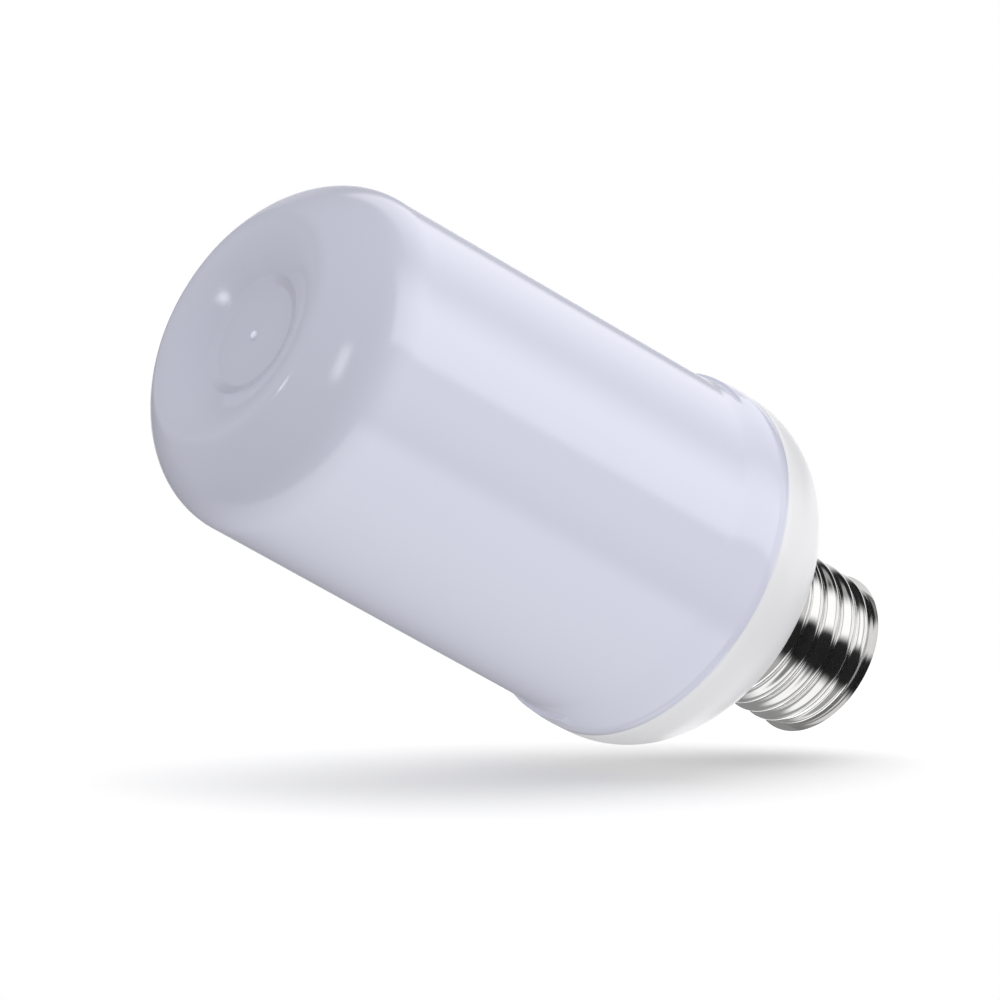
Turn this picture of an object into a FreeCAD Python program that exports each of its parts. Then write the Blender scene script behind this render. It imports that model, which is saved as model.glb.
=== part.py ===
import FreeCAD, Part
import math
import os

# A flame effect LED bulb with a screw cap, standing cap down.
# The origin is the middle of the centre contact's tip and +Z runs up the bulb's axis to the milky end.
# Every length is in millimetres.

# Clearances
slide_gap = 0.2
hug_gap = 0.05
screw_gap = 0.35

# Screw cap: a knuckle thread rolled in thin sheet, a plain skirt above it and a lip turned in below
thread_major_r = 13.15
thread_depth = 0.85
thread_pitch = 3.629
thread_turn_deg = 21.0
thread_end_z = 4.6
thread_length = 15.6
thread_fade = 1.7
skirt_step = 0.12
plain_skirt_length = 6.2
sheet = 0.35
lip_turn_in = 2.9
lip_drop = 1.3
lip_pull = 1.2
weld_lap = 0.04
net_columns = 24
net_rows_a_pitch = 6

# Insulator and centre contact
insulator_top_z = 6.0
insulator_foot_z = 1.5
insulator_bevel = 0.5
insulator_inset = 1.35
insulator_overhang = 0.7
contact_r = 5.0
contact_crown = 0.5
rivet_r = 1.5
rivet_head_r = 2.5
rivet_head_height = 0.8
rivet_bevel = 0.3

# Milky cover: a collar, a drafted side, a rounded shoulder and a dished end
collar_r = 29.0
collar_flare = 0.8
collar_height = 9.1
collar_bulge_rise = 1.6
collar_tuck = 0.03
lip_step = 0.45
side_draft = 0.9
side_length = 61.5
shoulder_run = 22.8
shoulder_rise = 15.8
shoulder_start_deg = 49.0
crest_run = 2.0
crest_lift = 0.58
dish_depth = 2.8
recess_r = 9.7
recess_depth = 0.7
recess_wall_run = 0.3
recess_fillet = 0.4
gate_nub_r = 1.1
gate_nub_height = 0.45
cover_wall = 1.5

# Snap skirt below the parting line, which drops inside the housing
parting_chamfer = 0.25
skirt_length = 3.7
skirt_wall = 1.4
skirt_root_rise = 1.5
skirt_root_slope = 4.0
bead_height = 0.4
bead_half_width = 0.8
bead_below_parting = 2.1

# White housing: a rounded bowl with a neck for the cap
bowl_step = 0.05
bowl_round = 14.9
bowl_straight = 1.0
bowl_wall = 1.8
socket_step = 0.35
neck_wall = 1.5
neck_foot_rise = 2.5
neck_shoulder = 0.3
neck_shoulder_run = 0.7

# Carrier plate across the housing
carrier_thick = 2.0
carrier_under_skirt = 0.6
carrier_rim = 1.2
carrier_collar_height = 4.0
carrier_collar_wall = 1.4
rest_rib_thick = 1.6
rest_rib_reach = 3.6
window_side_gap = 0.6
window_back = 8.0
window_front = 7.0

# Core tube, rolled lamp sheet and top board
light_gap = 7.4
end_gap = 8.4
tube_wall = 1.5
sheet_thick = 0.6
sheet_short = 2.0
sheet_seam = 1.0
led_columns = 12
led_rows = 8
led_width = 2.8
led_length = 3.5
led_height = 0.8
led_frame = 0.4
led_bevel = 0.12
top_board_thick = 1.2
top_led_count = 6
top_led_inset = 3.0
top_boss_r = 2.6
top_boss_height = 10.0
top_web = 2.0

# Driver board, which stands in two guides inside the neck
board_thick = 1.2
board_side_room = 0.95
board_rise = 6.5
board_end_room = 0.15
guide_reach = 1.5
guide_lip = 1.0
guide_height = 20.0
guide_foot = 1.5

# Leads and pins
lead_r = 0.3
lead_lap = 3.0
lead_inset = 4.3
lead_fall = 0.7
lead_climb = 6.5
lead_bend = 1.6
lead_press = 0.15
notch_over = 1.5
groove_over = 1.5
pin_step = 2.54
pin_side = 0.64
pin_count = 4
pin_lap = 1.8
pin_rise = 3.0
pin_window_half = 4.0
pin_window_margin = 2.0

# Screws
screw_core_r = 1.0
screw_head_r = 2.3
screw_head_height = 1.3
screw_length = 7.0
cross_length = 2.6
cross_width = 0.5
cross_depth = 0.6

# Components on the driver board: sizes, heights above the board's foot, and rooms to the one below
can_air = 2.1
can_length = 13.0
can_under_carrier = 2.0
can_bevel = 0.4
can_groove_depth = 0.35
can_groove_rise = 1.6
can_leg_x = 1.3
can_leg_side = 0.5
can_leg_drop = 1.3
film_side_room = 4.1
film_width = 7.2
film_height = 5.2
film_lift = 0.2
film_fillet = 0.5
film_leg_inset = 1.45
film_leg_side = 0.6
film_over_rectifier = 1.05
choke_room = 0.7
choke_waist_r = 1.6
choke_height = 6.0
choke_flange = 1.0
choke_coil_inset = 0.4
choke_coil_bulge = 0.1
choke_rise = 29.9
tilt_flange_r = 2.7
tilt_flange = 0.5
tilt_can_r = 2.3
tilt_crown = 0.4
tilt_height = 8.0
tilt_off_centre = 4.6
tilt_rise = 28.0
tilt_leg_drop = 1.0
tilt_leg_x = 0.9
tilt_leg_side = 0.4
chip_lift = 0.1
chip_bevel = 0.2
chip_leg_width = 0.35
chip_leg_thick = 0.2
chip_leg_reach = 0.9
chip_width = 3.9
chip_height = 1.5
effect_chip_length = 9.9
effect_chip_room = 0.15
driver_chip_length = 4.9
driver_chip_over_row = 4.55
rectifier_length = 4.7
rectifier_rise = 5.0
small_length = 2.0
small_width = 1.2
small_height = 0.5
small_row_room = 3.3
small_row_over_film = 5.8
small_side_room = 2.3
small_side_rise = 30.0
small_side_step = 3.0
fuse_r = 1.5
fuse_waist_r = 1.25
fuse_bevel = 0.4
fuse_cap = 1.6
fuse_above_rivet = 1.4
fuse_below_board = 0.8

# Heights worked out from the values above, from the contact up
thread_top_z = thread_end_z + thread_length
cap_rim_z = thread_top_z + plain_skirt_length
shell_lip_z = thread_end_z - lip_drop
bowl_centre_z = cap_rim_z + bowl_round
parting_z = bowl_centre_z + bowl_straight
side_foot_z = parting_z + collar_height
side_top_z = side_foot_z + side_length
crest_z = side_top_z + shoulder_rise * math.sin(math.radians(shoulder_start_deg)) + crest_lift
recess_edge_z = crest_z - dish_depth
recess_floor_z = recess_edge_z - recess_depth
skirt_foot_z = parting_z - skirt_length
carrier_top_z = skirt_foot_z - carrier_under_skirt
carrier_seat_z = carrier_top_z - carrier_thick
tube_top_z = recess_floor_z - cover_wall - end_gap
sheet_top_z = tube_top_z - sheet_short
top_board_top_z = tube_top_z + top_board_thick
neck_foot_z = insulator_top_z + neck_foot_rise
board_foot_z = neck_foot_z + board_rise
rivet_top_z = insulator_top_z + rivet_head_height
pin_low_z = carrier_top_z + carrier_collar_height + pin_rise

# Radii and sides worked out from the values above
side_foot_r = collar_r - collar_flare - lip_step
side_top_r = side_foot_r - side_draft
shoulder_centre_r = side_top_r - shoulder_run
crest_r = shoulder_centre_r + shoulder_run * math.cos(math.radians(shoulder_start_deg)) - crest_run
bowl_r = collar_r - bowl_step
bowl_centre_r = bowl_r - bowl_round
socket_r = bowl_r - bowl_wall - socket_step
cover_skirt_r = socket_r - slide_gap
thread_minor_r = thread_major_r - thread_depth
plain_skirt_r = thread_major_r + skirt_step
shell_lip_r = thread_minor_r - lip_turn_in
insulator_seat_r = thread_minor_r - sheet - insulator_inset
neck_r = thread_minor_r - sheet - slide_gap
neck_top_r = plain_skirt_r - sheet - slide_gap
neck_bore_r = neck_r - neck_wall
board_width = 2 * (neck_bore_r - board_side_room)
board_front_y = -lead_r
board_back_y = board_front_y - board_thick
tube_r = side_top_r - cover_wall - light_gap - led_height - sheet_thick - hug_gap
tube_bore_r = tube_r - tube_wall
sheet_inner_r = tube_r + hug_gap
sheet_outer_r = sheet_inner_r + sheet_thick
top_board_r = tube_r - slide_gap
top_screw_radius = tube_bore_r - top_boss_r - 2 * slide_gap
rim_below_centre = bowl_centre_z - carrier_seat_z + carrier_rim
carrier_r = bowl_centre_r + math.sqrt((bowl_round - bowl_wall) ** 2 - rim_below_centre ** 2) - slide_gap
lamp_outer_r = sheet_outer_r + led_height
carrier_screw_radius = (lamp_outer_r + carrier_r - carrier_rim) / 2
boss_r = (carrier_r - carrier_rim - lamp_outer_r) / 2 - hug_gap
choke_flange_r = (board_width / 2 - pin_lap - choke_room) / 2
choke_z = board_foot_z + choke_rise

# Layout of the driver board: each piece stands above the one below it, and the board ends above the last
chip_half = chip_width / 2 + chip_leg_reach
tilt_top_z = board_foot_z + tilt_rise + tilt_height
effect_chip_z = max(choke_z + choke_flange_r, tilt_top_z) + effect_chip_room + chip_half
board_top_z = effect_chip_z + chip_half + board_end_room
rectifier_z = board_foot_z + rectifier_rise
film_z = rectifier_z + chip_half + film_over_rectifier + film_width / 2
small_row_z = film_z + film_width / 2 + small_row_over_film + small_width / 2
driver_chip_z = small_row_z + small_width / 2 + driver_chip_over_row + chip_half
small_side_z = board_foot_z + small_side_rise

AXIS = FreeCAD.Vector(0, 0, 1)
ORIGIN = FreeCAD.Vector(0, 0, 0)
X_AXIS = FreeCAD.Vector(1, 0, 0)
Y_AXIS = FreeCAD.Vector(0, 1, 0)


def rz(radius, height):
    """A point of a half section: distance from the axis, then height."""
    return FreeCAD.Vector(radius, 0, height)


def line(start, end):
    return Part.LineSegment(rz(*start), rz(*end)).toShape()


def lines(points):
    """Straight edges through the points, in order."""
    return [line(a, b) for a, b in zip(points, points[1:])]


def bezier(points):
    curve = Part.BezierCurve()
    curve.setPoles([rz(*point) for point in points])
    return curve.toShape()


def ellipse_point(centre, semi_r, semi_z, degrees):
    angle = math.radians(degrees)
    return (centre[0] + semi_r * math.cos(angle), centre[1] + semi_z * math.sin(angle))


def ellipse_arc(centre, semi_r, semi_z, start_deg, end_deg):
    """A quarter ellipse or less in the half section, drawn as a rational curve of degree two."""
    half = math.radians(end_deg - start_deg) / 2
    middle = math.radians(start_deg) + half
    reach = 1 / math.cos(half)
    corner = (centre[0] + semi_r * reach * math.cos(middle), centre[1] + semi_z * reach * math.sin(middle))
    curve = Part.BezierCurve()
    start = ellipse_point(centre, semi_r, semi_z, start_deg)
    end = ellipse_point(centre, semi_r, semi_z, end_deg)
    curve.setPoles([rz(*start), rz(*corner), rz(*end)])
    curve.setWeight(2, math.cos(half))
    return curve.toShape()


def turned(edges):
    """The solid swept by a closed half section about the axis."""
    wire = Part.Wire(Part.__sortEdges__(edges))
    return Part.Face(wire).revolve(ORIGIN, AXIS, 360)


def turned_polygon(points):
    return turned(lines(points + points[:1]))


def ring(outer_r, inner_r, low_z, high_z):
    return turned_polygon([(inner_r, low_z), (outer_r, low_z), (outer_r, high_z), (inner_r, high_z)])


def rod(radius, low_z, high_z, x=0, y=0):
    return Part.makeCylinder(radius, high_z - low_z, FreeCAD.Vector(x, y, low_z))


def block(low, high):
    size = [h - l for l, h in zip(low, high)]
    return Part.makeBox(*size, FreeCAD.Vector(*low))


def post(side, x, y, low_z, high_z):
    """An upright square bar round the point x, y."""
    half = side / 2
    return block((x - half, y - half, low_z), (x + half, y + half, high_z))


def turn_about_axis(shape, degrees):
    copy = shape.copy()
    copy.rotate(ORIGIN, AXIS, degrees)
    return copy


def spaced_round(shape, count, start_deg=0.0):
    return [turn_about_axis(shape, start_deg + 360.0 * k / count) for k in range(count)]


def moved(shape, x, y, z):
    copy = shape.copy()
    copy.translate(FreeCAD.Vector(x, y, z))
    return copy


def fused(shapes):
    return shapes[0].multiFuse(shapes[1:]).removeSplitter()


def top_edges(shape, height):
    """The edges that lie wholly at or above a height."""
    return [edge for edge in shape.Edges if edge.BoundBox.ZMin > height - 0.01]


def save(shape, node):
    shape.exportStep("parts/" + node + ".step")
    print(node, "solids", len(shape.Solids), "volume", round(shape.Volume, 1), "valid", shape.isValid())


def tangent_on_shoulder(semi_r, semi_z):
    """Direction of the shoulder at its upper end, pointing back over the crest."""
    angle = math.radians(shoulder_start_deg)
    along_r = -semi_r * math.sin(angle)
    along_z = semi_z * math.cos(angle)
    size = math.hypot(along_r, along_z)
    return along_r / size, along_z / size


def cover_end_edges(inset):
    """The dished end and its rounded shoulder, moved inwards by inset, from the recess to the side."""
    semi_r = shoulder_run - inset
    semi_z = shoulder_rise - inset
    centre = (shoulder_centre_r, side_top_z)
    shoulder = ellipse_point(centre, semi_r, semi_z, shoulder_start_deg)
    back_r, back_z = tangent_on_shoulder(semi_r, semi_z)
    edge = (recess_r + inset * 0.3, recess_edge_z - inset)
    crest = (crest_r, crest_z - inset)
    pull = (crest_r - recess_r) * 0.4
    push = (shoulder[0] - crest_r) * 0.4
    dish = bezier([edge, (edge[0] + pull, edge[1] + pull * 0.25), (crest[0] - pull, crest[1]), crest])
    over = bezier([crest, (crest[0] + push, crest[1]),
                   (shoulder[0] + back_r * push, shoulder[1] + back_z * push), shoulder])
    return [dish, over, ellipse_arc(centre, semi_r, semi_z, shoulder_start_deg, 0)], edge


def cover_collar_edges():
    """From the foot of the drafted side, out over the collar and down to the end of the snap skirt."""
    lip = (side_foot_r + lip_step, side_foot_z)
    bulge = (collar_r, parting_z + collar_bulge_rise)
    drop = collar_height - collar_bulge_rise
    bead_z = parting_z - bead_below_parting
    flare = bezier([lip, (lip[0] + lip_step, lip[1] - drop * 0.25), (collar_r, bulge[1] + drop * 0.4),
                    bulge])
    rest = lines([bulge, (collar_r - collar_tuck, parting_z + parting_chamfer),
                  (collar_r - parting_chamfer, parting_z),
                  (cover_skirt_r, parting_z), (cover_skirt_r, bead_z + bead_half_width),
                  (cover_skirt_r + bead_height, bead_z), (cover_skirt_r, bead_z - bead_half_width),
                  (cover_skirt_r, skirt_foot_z), (cover_skirt_r - skirt_wall, skirt_foot_z),
                  (cover_skirt_r - skirt_wall, parting_z + skirt_root_rise)])
    return [line((side_foot_r, side_foot_z), lip), flare] + rest


def diffuser_cover():
    outside, edge = cover_end_edges(0)
    inside, inner_edge = cover_end_edges(cover_wall)
    nub_top = recess_floor_z + gate_nub_height
    under = recess_floor_z - cover_wall
    middle = lines([(0, under), (0, nub_top), (gate_nub_r * 0.6, nub_top), (gate_nub_r, recess_floor_z),
                    (recess_r - recess_wall_run, recess_floor_z), edge])
    side = [line((side_top_r, side_top_z), (side_foot_r, side_foot_z))]
    root_z = parting_z + skirt_root_rise
    join_z = root_z + skirt_root_slope
    join_r = side_top_r - cover_wall + side_draft * (side_top_z - join_z) / side_length
    inner_side = lines([(cover_skirt_r - skirt_wall, root_z), (join_r, join_z),
                        (side_top_r - cover_wall, side_top_z)])
    roof = lines([inner_edge, (recess_r - recess_wall_run + recess_fillet, under), (0, under)])
    return turned(middle + outside + side + cover_collar_edges() + inner_side + inside + roof)


def bowl_arc(radius, start_deg):
    """The bowl's round corner, from a point on its side to its flat foot."""
    centre = (bowl_centre_r, bowl_centre_z)
    stops = (start_deg, (start_deg - 90) / 2, -90)
    return Part.Arc(*[rz(*ellipse_point(centre, radius, radius, stop)) for stop in stops]).toShape()


def bowl_outline():
    """The outside of the housing as a filled turned solid, from its rim down to the cap."""
    rim = lines([(0, parting_z), (bowl_r - parting_chamfer, parting_z),
                 (bowl_r - collar_tuck, parting_z - parting_chamfer), (bowl_r, bowl_centre_z)])
    shoulder_z = thread_top_z - neck_shoulder
    foot = lines([(bowl_centre_r, cap_rim_z), (neck_top_r, cap_rim_z), (neck_top_r, shoulder_z),
                  (neck_r, shoulder_z - neck_shoulder_run), (neck_r, neck_foot_z), (0, neck_foot_z),
                  (0, parting_z)])
    return turned(rim + [bowl_arc(bowl_round, 0)] + foot)


def bowl_hollow():
    """The space inside the housing: a round socket, a bowl and the bore of the neck."""
    radius = bowl_round - bowl_wall
    socket_deg = -math.degrees(math.acos((socket_r - bowl_centre_r) / radius))
    socket_z = bowl_centre_z + radius * math.sin(math.radians(socket_deg))
    above = parting_z + 1.0
    below = neck_foot_z - 1.0
    edges = lines([(0, above), (socket_r, above), (socket_r, socket_z)])
    edges.append(bowl_arc(radius, socket_deg))
    edges += lines([(bowl_centre_r, cap_rim_z + bowl_wall), (neck_bore_r, cap_rim_z + bowl_wall),
                    (neck_bore_r, below), (0, below), (0, above)])
    return turned(edges)


def snap_groove():
    groove_z = parting_z - bead_below_parting
    reach = cover_skirt_r + bead_height + slide_gap
    half = bead_half_width + slide_gap * 1.5
    inner_r = socket_r - bead_height
    return turned_polygon([(inner_r, groove_z - half), (socket_r, groove_z - half), (reach, groove_z),
                           (socket_r, groove_z + half), (inner_r, groove_z + half)])


def board_guides():
    """Two slotted ribs inside the neck that hold the driver board by its edges."""
    edge_x = board_width / 2
    outer = block((edge_x - guide_reach, board_back_y - guide_lip, board_foot_z - guide_foot),
                  (neck_bore_r + neck_wall / 2, board_front_y + guide_lip, board_foot_z + guide_height))
    slot = block((0, board_back_y - hug_gap, board_foot_z),
                 (edge_x + slide_gap, board_front_y + hug_gap, board_top_z))
    guide = outer.cut(slot)
    return [guide, guide.mirror(ORIGIN, X_AXIS)]


def neutral_channel():
    """The notch in the neck's end and the groove up its outside, where the neutral lead lies."""
    half = lead_r + slide_gap
    lead_y = board_back_y - lead_r
    low_z = neck_foot_z - 1
    notch = block((-neck_r - 1, lead_y - half, low_z),
                  (-neck_bore_r + 1, lead_y + half, neck_foot_z + lead_fall + notch_over))
    groove = block((-neck_r - 1, lead_y - half, low_z),
                   (-neck_r + 2 * lead_r + slide_gap, lead_y + half, neck_foot_z + lead_climb + groove_over))
    return notch.fuse(groove)


def base_housing():
    outline = bowl_outline()
    wall = outline.cut(bowl_hollow()).cut(snap_groove())
    inner_pieces = board_guides()
    for side in (1, -1):
        inner_pieces.append(rod(boss_r, cap_rim_z, carrier_seat_z, 0, side * carrier_screw_radius))
    rib = block((carrier_r - rest_rib_reach, -rest_rib_thick / 2, cap_rim_z),
                (bowl_r, rest_rib_thick / 2, carrier_seat_z))
    inner_pieces += spaced_round(rib, 4, 45)
    housing = fused([wall] + [piece.common(outline) for piece in inner_pieces])
    for side in (1, -1):
        pilot = rod(screw_core_r + hug_gap, carrier_seat_z - screw_length, carrier_seat_z + 1,
                    0, side * carrier_screw_radius)
        housing = housing.cut(pilot)
    return housing.cut(neutral_channel())


def fade(share):
    share = min(max(share, 0.0), 1.0)
    return share * share * (3 - 2 * share)


def softening(points_a_wave):
    """How far a cubic net draws in a wave that has this many control points."""
    return (2 + math.cos(2 * math.pi / points_a_wave)) / 3


def thread_radius(angle, height, offset):
    """Radius of the rolled sheet: a knuckle wave that climbs one pitch a turn and fades out at both ends."""
    middle = thread_minor_r + thread_depth / 2
    phase = 2 * math.pi * (height / thread_pitch) - angle + math.radians(thread_turn_deg)
    wave = middle + thread_depth / 2 / softening(net_rows_a_pitch) * math.cos(phase)
    top = fade((thread_top_z - height) / thread_fade)
    foot = fade((height - thread_end_z) / thread_fade)
    plain = plain_skirt_r - weld_lap / 2
    value = plain + (wave - plain) * top
    value = thread_minor_r + (value - thread_minor_r) * foot
    return value - offset


def thread_face(offset):
    """The threaded tube's surface: a smooth closed net whose control points follow thread_radius."""
    upward = round(net_rows_a_pitch * thread_length / thread_pitch)
    net = []
    for i in range(net_columns):
        angle = 2 * math.pi * i / net_columns
        column = []
        for j in range(upward + 1):
            height = thread_end_z + thread_length * j / upward
            radius = thread_radius(angle, height, offset) / softening(net_columns)
            column.append(FreeCAD.Vector(radius * math.cos(angle), radius * math.sin(angle), height))
        net.append(column)
    inner_knots = upward - 3
    surface = Part.BSplineSurface()
    surface.buildFromPolesMultsKnots(net, [1] * (net_columns + 1), [4] + [1] * inner_knots + [4],
                                     list(range(net_columns + 1)), list(range(inner_knots + 2)),
                                     True, False, 3, 3)
    return surface.toShape()


def end_wire(face, height):
    """The closed edge of a thread face at one end of the thread."""
    return Part.Wire([edge for edge in face.Edges if abs(edge.BoundBox.ZMin - height) < 1e-3
                      and abs(edge.BoundBox.ZMax - height) < 1e-3])


def threaded_tube():
    """The rolled part of the shell, one smooth face outside and one inside, closed by flat rings."""
    faces = [thread_face(0), thread_face(sheet)]
    for height in (thread_end_z, thread_top_z):
        rims = [end_wire(face, height) for face in faces[:2]]
        faces.append(Part.makeFace(rims, "Part::FaceMakerBullseye"))
    shell = Part.Shell(faces)
    shell.sewShape()
    solid = Part.Solid(shell)
    if solid.Volume < 0:
        solid.reverse()
    return solid


def turned_in_lip():
    """The rounded lip below the thread, which holds the insulator."""
    outer_r = thread_minor_r - weld_lap
    inner_r = outer_r - sheet
    high_z = thread_end_z + sheet
    inner_lip_z = shell_lip_z + sheet
    outside = bezier([(outer_r, thread_end_z), (outer_r - lip_pull * 0.25, shell_lip_z + lip_pull * 0.4),
                      (shell_lip_r + lip_pull, shell_lip_z), (shell_lip_r, shell_lip_z)])
    inside = bezier([(shell_lip_r, inner_lip_z), (shell_lip_r + lip_pull * 0.9, inner_lip_z),
                     (inner_r - lip_pull * 0.35, inner_lip_z + lip_pull * 0.5),
                     (inner_r, thread_end_z + sheet * 0.3)])
    ends = [line((shell_lip_r, shell_lip_z), (shell_lip_r, inner_lip_z))]
    ends += lines([(inner_r, thread_end_z + sheet * 0.3), (inner_r, high_z), (outer_r, high_z),
                   (outer_r, thread_end_z)])
    return turned([outside, inside] + ends)


def screw_shell():
    skirt = ring(plain_skirt_r, plain_skirt_r - sheet - weld_lap, thread_top_z, cap_rim_z)
    return fused([threaded_tube(), skirt, turned_in_lip()])


def cap_insulator():
    """The dark disc that keeps the centre contact off the shell."""
    neck = shell_lip_r - hug_gap
    seat_z = shell_lip_z + sheet + hug_gap
    return turned_polygon([(rivet_r + hug_gap, insulator_foot_z),
                           (contact_r + insulator_overhang, insulator_foot_z),
                           (neck, shell_lip_z - slide_gap), (neck, seat_z),
                           (insulator_seat_r - insulator_bevel, seat_z + insulator_bevel * 0.7),
                           (insulator_seat_r, seat_z + insulator_bevel * 1.8),
                           (insulator_seat_r, insulator_top_z), (rivet_r + hug_gap, insulator_top_z)])


def centre_contact():
    """A crowned disc with a flat tip, riveted up through the insulator."""
    flat_r = contact_r * 0.6
    crown = bezier([(flat_r, 0), (contact_r * 0.85, 0), (contact_r, contact_crown * 0.4),
                    (contact_r, contact_crown)])
    rest = lines([(contact_r, contact_crown), (contact_r, insulator_foot_z), (rivet_r, insulator_foot_z),
                  (rivet_r, insulator_top_z), (rivet_head_r, insulator_top_z),
                  (rivet_head_r, rivet_top_z - rivet_bevel), (rivet_head_r - rivet_bevel, rivet_top_z),
                  (0, rivet_top_z), (0, 0), (flat_r, 0)])
    return turned([crown] + rest)


def board_carrier():
    """The plate that rests on the housing's ribs and holds the tube on a round collar."""
    plate = rod(carrier_r, carrier_seat_z, carrier_top_z)
    collar_top_z = carrier_top_z + carrier_collar_height
    collar_outer_r = tube_bore_r - slide_gap
    collar = ring(collar_outer_r, collar_outer_r - carrier_collar_wall, carrier_top_z, collar_top_z)
    window_x = board_width / 2 + window_side_gap
    window = block((-window_x, -window_back, carrier_seat_z - 1), (window_x, window_front, collar_top_z + 1))
    hole = rod(screw_core_r + screw_gap, carrier_seat_z - 1, carrier_top_z + 1, 0, carrier_screw_radius)
    rim = ring(carrier_r, carrier_r - carrier_rim, carrier_seat_z - carrier_rim, carrier_seat_z)
    half = rest_rib_thick / 2 + slide_gap
    notch = block((carrier_r - rest_rib_reach - 1, -half, carrier_seat_z - 2 * carrier_rim),
                  (carrier_r + 1, half, carrier_seat_z))
    rim = rim.cut(Part.makeCompound(spaced_round(notch, 4, 45)))
    body = fused([plate, collar, rim])
    return body.cut(Part.makeCompound([window] + spaced_round(hole, 2)))


def pan_screw(seat_z, x, y):
    """A small self-tapping screw, its head on the seat and its core going down."""
    slot_top = seat_z + screw_head_height
    head = rod(screw_head_r, seat_z, slot_top, x, y)
    head = head.makeFillet(screw_head_height * 0.6, top_edges(head, slot_top))
    core = rod(screw_core_r, seat_z - screw_length, seat_z, x, y)
    long_half = cross_length / 2
    short_half = cross_width / 2
    cross = [block((x - a, y - b, slot_top - cross_depth), (x + a, y + b, slot_top + 1))
             for a, b in ((long_half, short_half), (short_half, long_half))]
    return fused([head, core]).cut(Part.makeCompound(cross))


def screw_pair(seat_z, radius):
    return Part.makeCompound([pan_screw(seat_z, 0, side * radius) for side in (1, -1)])


def core_tube():
    """The plastic tube, with two bosses under the top board and a window for the pins."""
    boss_low_z = tube_top_z - top_boss_height
    pieces = [ring(tube_r, tube_bore_r, carrier_top_z, tube_top_z)]
    web = block((-top_web / 2, top_screw_radius, boss_low_z),
                (top_web / 2, tube_r - tube_wall / 3, tube_top_z))
    pieces += spaced_round(web, 2)
    pieces += spaced_round(rod(top_boss_r, boss_low_z, tube_top_z, 0, top_screw_radius), 2)
    body = fused(pieces)
    pilot = rod(screw_core_r + hug_gap, tube_top_z - screw_length, tube_top_z + 1, 0, top_screw_radius)
    window = block((0, -pin_window_half, pin_low_z - pin_window_margin),
                   (tube_r + 1, pin_window_half, pin_low_z + (pin_count - 1) * pin_step + pin_window_margin))
    return body.cut(Part.makeCompound([window] + spaced_round(pilot, 2)))


def led_sheet():
    """The rolled board, a thin tube with a narrow seam where its two edges meet."""
    sheet_tube = ring(sheet_outer_r, sheet_inner_r, carrier_top_z, sheet_top_z)
    seam = block((-sheet_outer_r - 1, -sheet_seam / 2, carrier_top_z - 1),
                 (0, sheet_seam / 2, sheet_top_z + 1))
    return sheet_tube.cut(seam)


def led_package():
    """One surface lamp lying on the XY plane: a frame with sloped sides round a filled window."""
    body = block((-led_width / 2, -led_length / 2, 0), (led_width / 2, led_length / 2, led_height))
    body = body.makeChamfer(led_bevel, top_edges(body, led_height))
    window = block((-led_width / 2 + led_frame, -led_length / 2 + led_frame, led_height - led_bevel),
                   (led_width / 2 - led_frame, led_length / 2 - led_frame, led_height + 1))
    return body.cut(window)


def sheet_leds():
    """The lamps stood out from the rolled board, in even rows and columns."""
    upright = led_package()
    upright.rotate(ORIGIN, Y_AXIS, 90)
    upright.rotate(ORIGIN, X_AXIS, 90)
    row_step = (sheet_top_z - carrier_top_z) / led_rows
    leds = []
    for row in range(led_rows):
        lifted = moved(upright, sheet_outer_r, 0, carrier_top_z + row_step * (row + 0.5))
        leds += spaced_round(lifted, led_columns, 180.0 / led_columns)
    return Part.makeCompound(leds)


def top_board():
    disc = rod(top_board_r, tube_top_z, top_board_top_z)
    hole = rod(screw_core_r + screw_gap, tube_top_z - 1, top_board_top_z + 1, 0, top_screw_radius)
    return disc.cut(Part.makeCompound(spaced_round(hole, 2)))


def top_leds():
    middle = moved(led_package(), 0, 0, top_board_top_z)
    outer = moved(middle, top_screw_radius - top_led_inset, 0, 0)
    return Part.makeCompound([middle] + spaced_round(outer, top_led_count))


def driver_board():
    half = board_width / 2
    return block((-half, board_back_y, board_foot_z), (half, board_front_y, board_top_z))


def on_front(shape, x, z):
    """Lay a part that was drawn standing on the XY plane against the front of the board."""
    laid = shape.copy()
    laid.rotate(ORIGIN, X_AXIS, -90)
    return moved(laid, x, board_front_y, z)


def on_back(shape, x, z):
    laid = shape.copy()
    laid.rotate(ORIGIN, X_AXIS, 90)
    return moved(laid, x, board_back_y, z)


def chip_leg(x, side, body_half, height):
    """One gull-wing leg: out of the body, down, and out along the board."""
    low_x = x - chip_leg_width / 2
    high_x = x + chip_leg_width / 2
    bend = body_half + chip_leg_reach * 0.45
    reaches = [(body_half - chip_leg_thick, bend, height * 0.45, height * 0.45 + chip_leg_thick),
               (bend - chip_leg_thick, bend, 0, height * 0.45 + chip_leg_thick),
               (bend - chip_leg_thick, body_half + chip_leg_reach, 0, chip_leg_thick)]
    return [block((low_x, min(side * a, side * b), low_z), (high_x, max(side * a, side * b), high_z))
            for a, b, low_z, high_z in reaches]


def chip_package(length, legs_a_side):
    """A moulded chip with gull-wing legs down both long sides, standing on the XY plane."""
    body_half = chip_width / 2
    body = block((-length / 2, -body_half, chip_lift), (length / 2, body_half, chip_height))
    pieces = [body.makeChamfer(chip_bevel, top_edges(body, chip_height))]
    step = length / legs_a_side
    for k in range(legs_a_side):
        for side in (1, -1):
            pieces += chip_leg(-length / 2 + step * (k + 0.5), side, body_half, chip_height)
    return fused(pieces)


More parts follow.
